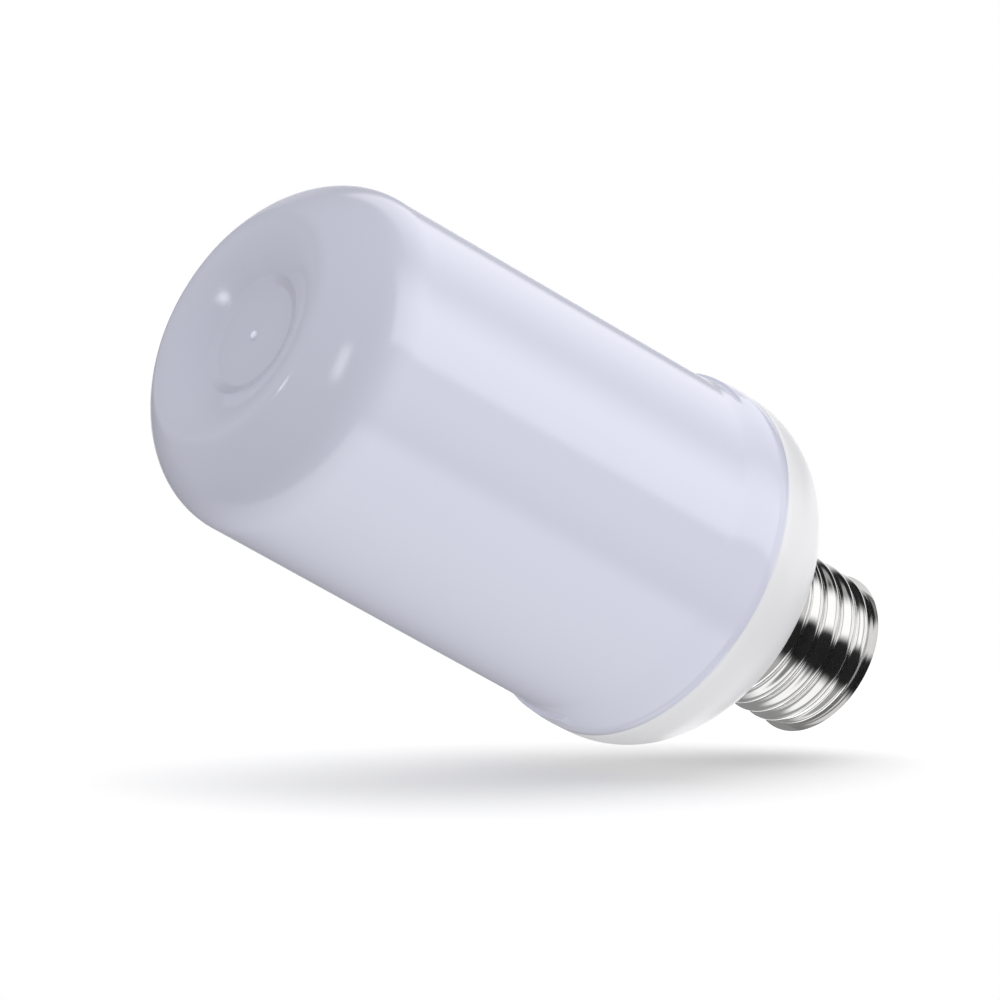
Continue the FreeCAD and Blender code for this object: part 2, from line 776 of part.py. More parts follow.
def bulk_capacitor():
    """The reservoir can, lying along the board with its two legs bent in to it."""
    can_r = (neck_bore_r - board_front_y - hug_gap - can_air) / 2
    low_z = carrier_seat_z - can_under_carrier - can_length
    foot_z = low_z - can_leg_drop
    centre_y = board_front_y + can_r + hug_gap
    groove_z = can_groove_rise + can_bevel
    can = turned_polygon([(0, 0), (can_r - can_bevel, 0), (can_r, can_bevel), (can_r, can_groove_rise),
                          (can_r - can_groove_depth, groove_z), (can_r, groove_z + can_bevel),
                          (can_r, can_length - can_bevel), (can_r - can_bevel, can_length), (0, can_length)])
    pieces = [moved(can, 0, centre_y, low_z)]
    half = can_leg_side / 2
    for x in (-can_leg_x, can_leg_x):
        pieces.append(post(can_leg_side, x, centre_y, foot_z, low_z))
        pieces.append(block((x - half, board_front_y, foot_z),
                            (x + half, centre_y + half, foot_z + can_leg_side)))
    return fused(pieces)


def input_capacitor():
    """A boxed film capacitor across the mains input."""
    half_x = board_width / 2 - film_side_room
    half_y = film_width / 2
    body = block((-half_x, -half_y, film_lift), (half_x, half_y, film_lift + film_height))
    body = body.makeFillet(film_fillet, body.Edges)
    leg_x = half_x - film_leg_inset
    legs = [post(film_leg_side, x, 0, 0, 2 * film_leg_side) for x in (-leg_x, leg_x)]
    return on_back(fused([body] + legs), 0, film_z)


def choke_core():
    """A ferrite bobbin with a flange at each end."""
    upper = choke_height - choke_flange
    bobbin = turned_polygon([(0, 0), (choke_flange_r, 0), (choke_flange_r, choke_flange),
                             (choke_waist_r, choke_flange), (choke_waist_r, upper), (choke_flange_r, upper),
                             (choke_flange_r, choke_height), (0, choke_height)])
    return on_front(bobbin, choke_flange_r, choke_z)


def choke_winding():
    waist = choke_waist_r + hug_gap
    low = choke_flange + hug_gap
    high = choke_height - low
    coil_r = choke_flange_r - choke_coil_inset
    coil = turned_polygon([(waist, low), (coil_r, low), (coil_r + choke_coil_bulge, choke_height / 2),
                           (coil_r, high), (waist, high)])
    return on_front(coil, choke_flange_r, choke_z)


def tilt_switch():
    """The small rolling-ball switch that tells which way up the lamp hangs, a can with a flange."""
    can = turned_polygon([(0, 0), (tilt_flange_r, 0), (tilt_flange_r, tilt_flange),
                          (tilt_can_r, tilt_flange), (tilt_can_r, tilt_height - tilt_crown),
                          (tilt_can_r - tilt_crown, tilt_height), (0, tilt_height)])
    low_z = tilt_top_z - tilt_height
    foot_z = low_z - tilt_leg_drop
    centre_y = board_front_y + tilt_flange_r
    pieces = [moved(can, -tilt_off_centre, centre_y, low_z)]
    half = tilt_leg_side / 2
    for x in (-tilt_off_centre - tilt_leg_x, -tilt_off_centre + tilt_leg_x):
        pieces.append(post(tilt_leg_side, x, centre_y, foot_z, low_z))
        pieces.append(block((x - half, board_front_y, foot_z),
                            (x + half, centre_y + half, foot_z + tilt_leg_side)))
    return fused(pieces)


def chip_resistors():
    """A row of small ceramic parts across the back of the board, and two at each side of the driver chip."""
    chip = block((-small_length / 2, -small_width / 2, 0), (small_length / 2, small_width / 2, small_height))
    row_x = board_width / 2 - small_row_room
    side_x = board_width / 2 - small_side_room
    places = [(row_x * (2 * k / 3 - 1), small_row_z) for k in range(4)]
    places += [(x, small_side_z + step) for x in (-side_x, side_x) for step in (0, small_side_step)]
    return Part.makeCompound([on_back(chip, x, z) for x, z in places])


def fuse_resistor():
    """An axial fuse resistor on the bulb's axis, between the rivet and the board."""
    low = rivet_top_z + fuse_above_rivet
    high = board_foot_z - fuse_below_board
    lead = rod(lead_r, rivet_top_z, board_foot_z + lead_lap)
    body = turned_polygon([(0, low), (fuse_r - fuse_bevel, low), (fuse_r, low + fuse_bevel),
                           (fuse_r, low + fuse_cap - fuse_bevel), (fuse_waist_r, low + fuse_cap),
                           (fuse_waist_r, high - fuse_cap), (fuse_r, high - fuse_cap + fuse_bevel),
                           (fuse_r, high - fuse_bevel), (fuse_r - fuse_bevel, high), (0, high)])
    return fused([lead, body])


def wire_through(points, radius, bend):
    """A round wire along straight runs joined by tangent arcs."""
    corners = [FreeCAD.Vector(*point) for point in points]
    edges = []
    start = corners[0]
    for before, corner, after in zip(corners, corners[1:], corners[2:]):
        back = (before - corner).normalize()
        forward = (after - corner).normalize()
        turn = math.pi - back.getAngle(forward)
        cut = bend * math.tan(turn / 2)
        arc_in = corner + back * cut
        arc_out = corner + forward * cut
        middle = (back + forward).normalize()
        arc_mid = corner + middle * (bend / math.cos(turn / 2) - bend)
        edges.append(Part.LineSegment(start, arc_in).toShape())
        edges.append(Part.Arc(arc_in, arc_mid, arc_out).toShape())
        start = arc_out
    edges.append(Part.LineSegment(start, corners[-1]).toShape())
    path = Part.Wire(edges)
    heading = (corners[1] - corners[0]).normalize()
    circle = Part.Wire(Part.Circle(corners[0], heading, radius).toShape())
    return path.makePipeShell([circle], True, False)


def neutral_lead():
    """The bare lead from the board's back, out through the notch and up beside the neck."""
    lead_y = board_back_y - lead_r
    inner_x = -(board_width / 2 - lead_inset)
    outer_x = -(neck_r - lead_r - lead_press)
    low_z = neck_foot_z + lead_fall
    points = [(inner_x, lead_y, board_foot_z + lead_lap), (inner_x, lead_y, low_z), (outer_x, lead_y, low_z),
              (outer_x, lead_y, neck_foot_z + lead_climb)]
    return wire_through(points, lead_r, lead_bend)


def sheet_pins():
    """Straight pins from the driver board's face through the tube's window to the rolled board."""
    low_x = board_width / 2 - pin_lap
    high_x = sheet_inner_r - hug_gap / 2
    pin = block((low_x, board_front_y, pin_low_z - pin_side / 2),
                (high_x, board_front_y + pin_side, pin_low_z + pin_side / 2))
    return Part.makeCompound([moved(pin, 0, 0, k * pin_step) for k in range(pin_count)])


def build():
    os.makedirs("parts", exist_ok=True)
    save(diffuser_cover(), "diffuser_cover")
    save(base_housing(), "base_housing")
    save(screw_shell(), "screw_shell")
    save(cap_insulator(), "cap_insulator")
    save(centre_contact(), "centre_contact")
    save(board_carrier(), "board_carrier")
    save(screw_pair(carrier_top_z, carrier_screw_radius), "carrier_screws")
    save(core_tube(), "core_tube")
    save(led_sheet(), "led_sheet")
    save(sheet_leds(), "sheet_leds")
    save(top_board(), "top_board")
    save(top_leds(), "top_leds")
    save(screw_pair(top_board_top_z, top_screw_radius), "top_board_screws")
    save(driver_board(), "driver_board")
    save(bulk_capacitor(), "bulk_capacitor")
    save(input_capacitor(), "input_capacitor")
    save(choke_core(), "choke_core")
    save(choke_winding(), "choke_winding")
    save(on_back(chip_package(rectifier_length, 2), 0, rectifier_z), "bridge_rectifier")
    save(on_back(chip_package(driver_chip_length, 4), 0, driver_chip_z), "driver_chip")
    save(on_front(chip_package(effect_chip_length, 8), 0, effect_chip_z), "effect_chip")
    save(tilt_switch(), "tilt_switch")
    save(chip_resistors(), "chip_resistors")
    save(fuse_resistor(), "fuse_resistor")
    save(neutral_lead(), "neutral_lead")
    save(sheet_pins(), "sheet_pins")


build()
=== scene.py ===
# %% [markdown]
# A flame effect bulb, dressed for the camera
#
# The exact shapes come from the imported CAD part, which is loaded as a fixed frame. The bulb stands on its
# contact with +Z up its axis, and everything is in metres. The outside pieces are rebuilt here as smooth
# meshes, because a glossy skin shows every facet, and the parts inside keep their CAD meshes and get finishes.

# %% Load the frame
import bpy
import bmesh
import math
from mathutils import Matrix, Vector


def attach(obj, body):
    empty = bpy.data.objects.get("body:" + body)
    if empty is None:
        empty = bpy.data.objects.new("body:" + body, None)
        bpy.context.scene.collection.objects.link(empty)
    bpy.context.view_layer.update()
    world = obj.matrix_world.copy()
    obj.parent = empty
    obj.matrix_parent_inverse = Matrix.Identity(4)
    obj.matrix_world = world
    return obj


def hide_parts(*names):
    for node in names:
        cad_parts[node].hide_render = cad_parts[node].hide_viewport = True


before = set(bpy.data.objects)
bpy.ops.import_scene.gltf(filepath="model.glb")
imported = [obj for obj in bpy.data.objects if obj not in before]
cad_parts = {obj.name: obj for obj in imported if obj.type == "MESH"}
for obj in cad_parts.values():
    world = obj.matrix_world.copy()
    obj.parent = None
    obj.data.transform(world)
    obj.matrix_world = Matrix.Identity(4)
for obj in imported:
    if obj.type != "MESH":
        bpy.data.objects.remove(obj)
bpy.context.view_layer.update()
MM = 0.001

# %% [markdown]
# The camera
#
# A product photographer uses a long lens from some way off, so that round things stay round. The lens and the
# place of this camera were worked out from the photograph: the outline of the cover, the round recess in its
# end and the cap were fitted together. The three directions below are the camera's right, up and backward in
# the bulb's own frame. The bulb looks as if it lies down because the camera is turned, and not the bulb.

# %% Camera
LENS = 147.28
SENSOR = 36.0
CAMERA_PLACE = (-0.00331, -0.49710, 0.41720)
camera_right = Vector((0.48993, -0.49774, -0.71570))
camera_up = Vector((0.87176, 0.27973, 0.40222))
camera_back = Vector((0.0, -0.82098, 0.57096))
camera_data = bpy.data.cameras.new("camera")
camera_data.lens = LENS
camera_data.sensor_width = SENSOR
camera_data.clip_start = 0.01
camera_data.clip_end = 20.0
camera = bpy.data.objects.new("camera", camera_data)
bpy.context.scene.collection.objects.link(camera)
turn = Matrix((camera_right, camera_up, camera_back)).transposed()
camera.matrix_world = Matrix.Translation(CAMERA_PLACE) @ turn.to_4x4()
bpy.context.scene.camera = camera
bpy.context.scene.view_settings.view_transform = "Standard"
print("camera sees", round(2 * math.degrees(math.atan(SENSOR / 2 / LENS)), 2), "degrees across")

# %% [markdown]
# Helpers for node trees
#
# Every finish and every light below is a small node tree, and so is the thread. Nodes can be placed by hand in
# the editor, but a tree written as code can be read, changed and built again. Three helpers keep it short: one
# adds a node and sets it up, one feeds an input, and one does sums.

# %% Node helpers
def add(tree, kind, inputs=None, **options):
    """A new node with its options set, and its inputs set by name."""
    node = tree.nodes.new(kind)
    for name, value in options.items():
        setattr(node, name, value)
    for name, value in (inputs or {}).items():
        node.inputs[name].default_value = value
    return node


def feed(tree, value, node, entry):
    """Gives an input a number, or the output that a (node, output) pair names."""
    if isinstance(value, tuple):
        tree.links.new(value[0].outputs[value[1]], node.inputs[entry])
    elif value is not None:
        node.inputs[entry].default_value = value


def maths(tree, operation, first, second=None):
    """A Math node; what goes in is a number or a (node, output) pair, and what comes out is such a pair."""
    node = add(tree, "ShaderNodeMath", operation=operation)
    feed(tree, first, node, 0)
    feed(tree, second, node, 1)
    return (node, 0)


print("node helpers:", add.__name__, feed.__name__, maths.__name__)

# %% [markdown]
# Soft edges and directions
#
# Light panels, shaded zones and the ends of the thread all need the same thing: a value that goes softly from
# 0 to 1 between two places. A Map Range node with a smooth step does that without the hard corner that a
# straight ramp leaves. The other helpers say where a point lies: its coordinates, its distance from the
# bulb's axis and its bearing round that axis.

# %% Ramps and places
def soft_ramp(tree, value, none, full):
    """0 where the value is at none, 1 where it is at full, with a soft change between."""
    ramp = add(tree, "ShaderNodeMapRange", interpolation_type="SMOOTHSTEP")
    feed(tree, value, ramp, "Value")
    feed(tree, none, ramp, "From Min")
    feed(tree, full, ramp, "From Max")
    return (ramp, "Result")


def product(tree, amounts):
    """The amounts multiplied together."""
    whole = amounts[0]
    for amount in amounts[1:]:
        whole = maths(tree, "MULTIPLY", whole, amount)
    return whole


def coordinates(tree, kind="Object"):
    """A node whose outputs are the X, Y and Z of a texture coordinate."""
    place = add(tree, "ShaderNodeTexCoord")
    parts = add(tree, "ShaderNodeSeparateXYZ")
    feed(tree, (place, kind), parts, "Vector")
    return parts


def axis_reach(tree, parts):
    """The distance from the bulb's axis."""
    squares = [maths(tree, "POWER", (parts, axis), 2.0) for axis in "XY"]
    return maths(tree, "SQRT", maths(tree, "ADD", *squares))


def bearing(tree, parts):
    """Degrees round the axis, from -Y towards +X."""
    back_y = maths(tree, "MULTIPLY", (parts, "Y"), -1.0)
    return maths(tree, "DEGREES", maths(tree, "ARCTAN2", (parts, "X"), back_y))


print("place helpers:", soft_ramp.__name__, axis_reach.__name__, bearing.__name__)

# %% [markdown]
# Light panels
#
# What makes a milky cover look glossy is what it mirrors. In the photograph its side mirrors upright panels
# of light with darker gaps between them, and the bands run along the whole cover. Panels could be modelled as
# lamps, but a lamp near the bulb would bend the bands. Here a panel is a window in bearing and height, with
# soft edges, drawn on a surface a long way off.

# %% Panel helpers
def window(tree, azimuth, height, fades):
    """1 inside a panel and 0 outside: the bearing fades in and out, and then the height does."""
    rise, fall, lift, drop = fades
    return product(tree, [soft_ramp(tree, azimuth, *rise), soft_ramp(tree, azimuth, *reversed(fall)),
                          soft_ramp(tree, height, *lift), soft_ramp(tree, height, *reversed(drop))])


def panel_light(tree, azimuth, height, panels, base):
    """The brightness of a wall of the base brightness with panels drawn on it, which add up."""
    bright = base
    for *fades, level in panels.values():
        share = window(tree, azimuth, height, fades)
        bright = maths(tree, "ADD", maths(tree, "MULTIPLY", share, level), bright)
    return bright


def blend(tree, share, first, second):
    """A number that goes from first to second with share."""
    node = add(tree, "ShaderNodeMix", data_type="FLOAT")
    for entry, value in ((0, share), (2, first), (3, second)):
        feed(tree, value, node, entry)
    return (node, 0)


print("panel helpers:", window.__name__, panel_light.__name__, blend.__name__)

# %% [markdown]
# The studio
#
# The panels that the cover mirrors are drawn on the sky, infinitely far away. Camera rays see plain white and
# mirror rays see the panels. Every other ray sees one soft, even light, a little stronger from +X, at which a
# colour renders about as it is written. Lamps would light the colour unevenly and clip the pale plastic.

# %% Sky
# Each panel: where its bearing fades in and out, where its height fades in and out, and its brightness
PANELS = {
    "pale table": ((-150, -45), (-22, -8), (-99, -90), (2, 8), 2.05),
    "gap": ((-14, 10), (20, 40), (-99, -90), (-5, 5), 0.45),
    "key box": ((33, 38), (60, 92), (-99, -90), (10, 16), 2.75),
    "side strip": ((80, 122), (143, 149), (-99, -90), (-6, 0), 1.1),
    "rim": ((150, 165), (179, 180), (-99, -90), (-6, 0), 0.35),
    "right edge": ((162, 170), (181, 182), (-99, -90), (-24, -16), 0.9),
    "far wall": ((-182, -172), (-135, -110), (2, 12), (45, 60), 0.25),
    "left edge": ((-182, -181), (-174, -166), (-99, -90), (-24, -16), 0.9),
    "small lamp": ((-4, 6), (26, 36), (48, 52), (57, 61), 4.5),
    "far lamp": ((-146, -140), (-118, -112), (74, 76), (79, 81), 11.0),
}
DIM_STUDIO = 0.2
SIDE_LIGHT = 0.24


def build_sky():
    world = bpy.data.worlds.new("studio")
    world.use_nodes = True
    tree = world.node_tree
    tree.nodes.clear()
    parts = coordinates(tree, "Generated")
    height = maths(tree, "DEGREES", maths(tree, "ARCSINE", (parts, "Z")))
    mirrored = panel_light(tree, bearing(tree, parts), height, PANELS, DIM_STUDIO)
    soft = maths(tree, "ADD", maths(tree, "MULTIPLY", (parts, "X"), SIDE_LIGHT), 1.0)
    path = add(tree, "ShaderNodeLightPath")
    light = blend(tree, (path, "Is Glossy Ray"), soft, mirrored)
    seen = maths(tree, "MAXIMUM", (path, "Is Camera Ray"), (path, "Is Transmission Ray"))
    shine = add(tree, "ShaderNodeBackground", {"Color": (1, 1, 1, 1)})
    feed(tree, blend(tree, seen, light, 1.0), shine, "Strength")
    out = add(tree, "ShaderNodeOutputWorld")
    feed(tree, (shine, 0), out, "Surface")
    return world


bpy.context.scene.world = build_sky()
print("sky with", len(PANELS), "panels")

# %% [markdown]
# Where the floor lies
#
# The photograph's floor is level in the photograph, so in the bulb's frame it leans. It passes a few
# millimetres under the collar, is seen at a very flat angle, and rolls by a degree, as the shadow in the
# photograph does. Its directions are worked out from the camera's, because the photograph is what they have
# to agree with.

# %% Floor place
FLOOR_TILT = math.radians(2.8)
FLOOR_ROLL = math.radians(1.2)
FLOOR_DROP = 14.45 * MM
level_up = camera_up * math.cos(FLOOR_ROLL) + camera_right * math.sin(FLOOR_ROLL)
floor_up = (level_up * math.cos(FLOOR_TILT) + camera_back * math.sin(FLOOR_TILT)).normalized()
floor_side = floor_up.cross(camera_back).normalized()
floor_away = floor_up.cross(floor_side)
print("floor faces", [round(v, 2) for v in floor_up])

# %% [markdown]
# Pieces of the studio
#
# The floor and the cards are one-sided: they show their front, and from behind everything passes through them,
# so that they never stand in the way of another view. Backfacing tells the two sides apart. A solid floor or
# card would hide the bulb from below and from behind.

# %% Studio helpers
def studio_piece(name, material_name, corners, faces):
    """A bare mesh with an empty material; gives back the object and the material's tree."""
    mesh = bpy.data.meshes.new(name)
    mesh.from_pydata(corners, [], faces)
    thing = bpy.data.objects.new(name, mesh)
    bpy.context.scene.collection.objects.link(thing)
    material = bpy.data.materials.new(material_name)
    material.use_nodes = True
    material.node_tree.nodes.clear()
    mesh.materials.append(material)
    thing.visible_diffuse = False
    thing.visible_transmission = False
    thing.visible_shadow = False
    return thing, material.node_tree


def one_sided(tree, front):
    """Ends a material that shows the front shader, and lets everything through from behind."""
    clear = add(tree, "ShaderNodeBsdfTransparent")
    side = add(tree, "ShaderNodeNewGeometry")
    pick = add(tree, "ShaderNodeMixShader")
    for entry, value in enumerate(((side, "Backfacing"), (front, 0), (clear, 0))):
        feed(tree, value, pick, entry)
    out = add(tree, "ShaderNodeOutputMaterial")
    feed(tree, (pick, 0), out, "Surface")


print("studio helpers:", studio_piece.__name__, one_sided.__name__)

# %% [markdown]
# The floor
#
# It is pale and only has to carry the soft shadow. A share of it glows, which keeps the lit part as bright as
# the backdrop, and further out it turns into plain white, so that no edge shows. A large white plane with
# more light on it would do the same, but that light would bleach the bulb as well.

# %% Floor
FLOOR_HALF = 0.25
FLOOR_MATT = 0.50
FLOOR_GLOW = 0.27
# Distances from the bulb's foot between which the shaded floor turns into plain white
FLOOR_PLAIN = (0.12, 0.19)


def build_floor():
    middle = floor_up * -FLOOR_DROP
    corners = [middle + floor_side * a * FLOOR_HALF + floor_away * b * FLOOR_HALF
               for a, b in ((-1, -1), (1, -1), (1, 1), (-1, 1))]
    floor, tree = studio_piece("floor", "pale_floor", corners, [(0, 1, 2, 3)])
    matt = add(tree, "ShaderNodeBsdfDiffuse", {"Color": (FLOOR_MATT, FLOOR_MATT, FLOOR_MATT, 1)})
    glow = add(tree, "ShaderNodeEmission", {"Color": (1, 1, 1, 1), "Strength": FLOOR_GLOW})
    shaded = add(tree, "ShaderNodeAddShader")
    feed(tree, (matt, 0), shaded, 0)
    feed(tree, (glow, 0), shaded, 1)
    place = add(tree, "ShaderNodeTexCoord")
    reach = add(tree, "ShaderNodeVectorMath", operation="LENGTH")
    feed(tree, (place, "Object"), reach, 0)
    plain = add(tree, "ShaderNodeEmission", {"Color": (1, 1, 1, 1), "Strength": 1.0})
    both = add(tree, "ShaderNodeMixShader")
    for entry, value in enumerate((soft_ramp(tree, (reach, "Value"), *FLOOR_PLAIN), (shaded, 0), (plain, 0))):
        feed(tree, value, both, entry)
    one_sided(tree, both)
    floor.visible_glossy = False
    return floor


floor = build_floor()
print("floor face looks along", [round(v, 2) for v in floor.data.polygons[0].normal])

# %% [markdown]
# The top light
#
# The even sky alone only darkens the floor right under the collar. One broad lamp straight above the floor
# lays a soft shadow of the whole bulb on it. Light linking keeps it on the floor, so that it doesn't change
# the even light on the bulb itself.

# %% Top light
LAMP_SIZE = (1.20, 0.65)
LAMP_HEIGHT = 0.55
LAMP_ASIDE = 0.12
BULB_MIDDLE = Vector((0, 0, 62 * MM))
top_data = bpy.data.lights.new("top_light", "AREA")
top_data.shape = "RECTANGLE"
top_data.size, top_data.size_y = LAMP_SIZE
top_data.energy = 3.9
top_light = bpy.data.objects.new("top_light", top_data)
bpy.context.scene.collection.objects.link(top_light)
over_bulb = BULB_MIDDLE + floor_up * LAMP_HEIGHT - floor_side * LAMP_ASIDE
top_light.matrix_world = Matrix.Translation(over_bulb) @ Matrix(
    (floor_side, floor_away, floor_up)).transposed().to_4x4()
top_light.visible_glossy = False
lit = bpy.data.collections.new("lit_by_top_light")
lit.objects.link(floor)
top_light.light_linking.receiver_collection = lit
print("top light of", round(top_data.energy, 1), "W at", [round(v, 2) for v in over_bulb])

# %% [markdown]
# The cards around the cap
#
# A bright metal cap shows nothing but its surroundings. In the photograph it mirrors a black gap between two
# pale areas, because the photographer's cards stand closer to it than to the cover. Here a closed drum of card
# stands around the cap, with a sloping lid that reaches up to the collar. Its panels are drawn as on the sky,
# with bearing and height as the cap sees them, and a panel below zero darkens what lies under it.

# %% Card panels
CARD_PANELS = {
    "left": ((-112, -74), (-34, -16), (-84, -60), (60, 70), 1.4),
    "left table": ((-112, -74), (-34, -16), (-48, -37), (-27, -24), -0.9),
    "left, low": ((-125, -110), (-34, -16), (-60, -50), (-40, -37), 0.6),
    "left horizon": ((-112, -74), (-34, -16), (-17, -11), (4, 10), -0.95),
    "left above": ((-112, -74), (-34, -16), (20, 25), (60, 70), -1.1),
    "far left": ((-172, -150), (-112, -74), (-82, -66), (60, 70), 0.35),
    "far left, low": ((-172, -160), (-112, -74), (-60, -50), (-40, -36), 1.2),
    "right": ((22, 35), (66, 84), (-72, -52), (60, 70), 1.5),
    "right table": ((22, 35), (66, 84), (-35, -32), (-28, -25), -0.8),
    "right horizon": ((22, 35), (66, 84), (-12, -8), (0, 5), -0.8),
    "right grey": ((66, 84), (112, 130), (4, 7), (10, 14), 0.5),
    "low right": ((66, 84), (112, 130), (-82, -70), (-38, -34), 1.2),
    "far right": ((112, 130), (144, 158), (-80, -66), (60, 70), 1.0),
    "behind, left": ((-176, -170), (-160, -150), (-62, -54), (-20, -10), 1.5),
    "behind, right": ((140, 154), (170, 176), (-62, -54), (-20, -10), 1.5),
}
print("card panels:", len(CARD_PANELS), "of which", sum(p[-1] < 0 for p in CARD_PANELS.values()), "darken")

# %% [markdown]
# The drum itself
#
# It is a short turned shape that looks inwards: a floor, a wall and the sloping lid. Only mirror rays from
# inside the drum see it, so it lights nothing, hides nothing, and the cover above looks straight through it.
# Four flat cards would leave corners in the reflections, and a drum leaves none.

# %% Cap cards
CARD_R = 70.0
# Radius and height, from the middle of the drum's floor to the lid's edge under the collar
CARD_PROFILE = ((0, -150), (CARD_R, -150), (CARD_R, 8), (29.6, 37.3))
CARD_STEPS = 96
CARD_BLACK = 0.012
CAP_MIDDLE = 12 * MM


def ring(radius, height, steps):
    """Points of a level circle in metres, from a radius and a height in millimetres."""
    return [(radius * MM * math.cos(a), radius * MM * math.sin(a), height * MM)
            for a in (2 * math.pi * k / steps for k in range(steps))]


def build_card():
    corners = [(0, 0, CARD_PROFILE[0][1] * MM)]
    for radius, height in CARD_PROFILE[1:]:
        corners += ring(radius, height, CARD_STEPS)
    after = [(k + 1) % CARD_STEPS for k in range(CARD_STEPS)]
    faces = [(0, 1 + k, 1 + n) for k, n in enumerate(after)]
    for row in range(len(CARD_PROFILE) - 2):
        low_row, high_row = 1 + row * CARD_STEPS, 1 + (row + 1) * CARD_STEPS
        faces += [(low_row + k, high_row + k, high_row + n, low_row + n) for k, n in enumerate(after)]
    card, tree = studio_piece("cap_card", "card", corners, faces)
    parts = coordinates(tree)
    above = maths(tree, "SUBTRACT", (parts, "Z"), CAP_MIDDLE)
    height = maths(tree, "DEGREES", maths(tree, "ARCTAN2", above, axis_reach(tree, parts)))
    glow = add(tree, "ShaderNodeEmission", {"Color": (1, 1, 1, 1)})
    feed(tree, panel_light(tree, bearing(tree, parts), height, CARD_PANELS, CARD_BLACK), glow, "Strength")
    one_sided(tree, glow)
    card.visible_camera = False
    return card


card = build_card()
print("card with", len(card.data.polygons), "faces; the first and the last look along",
      *([round(v, 2) for v in card.data.polygons[end].normal] for end in (0, -1)))

# %% [markdown]
# Profiles with rounded corners
#
# The cover, the base, the disc and the contact are all turned shapes, so each starts as a profile: a closed
# loop of points, distance from the axis and height, where a third number rounds that corner. Real moulded
# edges always have a small radius, and it is that radius that catches the light. A Bevel modifier would round
# every edge alike, and here each corner has its own radius.

# %% Profile helpers
def rounded(points, steps=5):
    """The loop of points with its corners turned into arcs of the given radius."""
    loop = []
    count = len(points)
    for i, point in enumerate(points):
        here = Vector(point[:2])
        radius = point[2] if len(point) > 2 else 0.0
        if radius <= 0:
            loop.append(here)
            continue
        back = (Vector(points[i - 1][:2]) - here)
        ahead = (Vector(points[(i + 1) % count][:2]) - here)
        angle = back.angle(ahead)
        cut = min(radius / math.tan(angle / 2), back.length * 0.49, ahead.length * 0.49)
        first = here + back.normalized() * cut
        last = here + ahead.normalized() * cut
        for k in range(steps + 1):
            t = k / steps
            loop.append(first * (1 - t) ** 2 + here * 2 * t * (1 - t) + last * t ** 2)
    return loop


def curve_points(start, first_pull, last_pull, end, steps):
    """Points along a Bezier curve, without its first one."""
    made = []
    for k in range(1, steps + 1):
        t = k / steps
        made.append(tuple(Vector(start) * (1 - t) ** 3 + Vector(first_pull) * 3 * t * (1 - t) ** 2
                          + Vector(last_pull) * 3 * t * t * (1 - t) + Vector(end) * t ** 3))
    return made


def arc_points(centre, reach_r, reach_z, start_deg, end_deg, steps):
    """Points along an ellipse, with both ends."""
    made = []
    for k in range(steps + 1):
        a = math.radians(start_deg + (end_deg - start_deg) * k / steps)
        made.append((centre[0] + reach_r * math.cos(a), centre[1] + reach_z * math.sin(a)))
    return made


print("a square with round corners has", len(rounded([(0, 0, 1), (9, 0, 1), (9, 9, 1), (0, 9, 1)])), "points")

# %% [markdown]
# The lathe
#
# One lathe turns all the profiles. The Screw modifier or Spin would do the same, but writing the rings out
# gives clean poles and no doubled points, and every ring has the same count, so that the skin is as smooth
# all the way round. Edges sharper than a few tens of degrees stay crisp.

# %% Lathe
STEPS_ROUND = 256
ON_AXIS = 1e-6


def lathe(name, loop, steps_round=STEPS_ROUND, sharp_deg=40):
    """A closed mesh from a closed loop in millimetres; points on the axis become single poles."""
    shape = bmesh.new()
    rings = []
    for radius, height in loop:
        points = [(0, 0, height * MM)] if radius < ON_AXIS else ring(radius, height, steps_round)
        rings.append([shape.verts.new(point) for point in points])
    for near, far in zip(rings, rings[1:] + rings[:1]):
        if len(near) == 1 and len(far) == 1:
            continue
        for k in range(steps_round):
            n = (k + 1) % steps_round
            corners = [near[k % len(near)], near[n % len(near)], far[n % len(far)], far[k % len(far)]]
            shape.faces.new(list(dict.fromkeys(corners)))
    bmesh.ops.recalc_face_normals(shape, faces=shape.faces)
    mesh = bpy.data.meshes.new(name)
    shape.to_mesh(mesh)
    shape.free()
    mesh.shade_smooth()
    mesh.set_sharp_from_angle(angle=math.radians(sharp_deg))
    piece = bpy.data.objects.new(name, mesh)
    bpy.context.scene.collection.objects.link(piece)
    print(name, len(mesh.polygons), "faces")
    return piece


print("the lathe sets", STEPS_ROUND, "points round, one every", round(360 / STEPS_ROUND, 1), "degrees")

# %% [markdown]
# The dished end of the cover
#
# The end of the real cover isn't a plain dome. It rises over a round shoulder to a soft crest and sinks again
# to a round recess. The shoulder is part of an ellipse, the crest a short curve that leaves it in its own
# direction, and the dish a slope that gets flatter towards the crest. A slope with an S in it would mirror
# the small lamp twice, and the photograph shows one spot.

# %% Dished end
SIDE_TOP = (26.85, 112.9)
SHOULDER = (22.8, 15.8)
SHOULDER_START = 49.0
SHOULDER_STEPS = 36
CREST_BACK = 2.0
CREST_RISE = 0.58
RECESS_R = 9.3
DISH_SINK = 2.8
DISH_BEND = 1.6
DISH_STEPS = 20


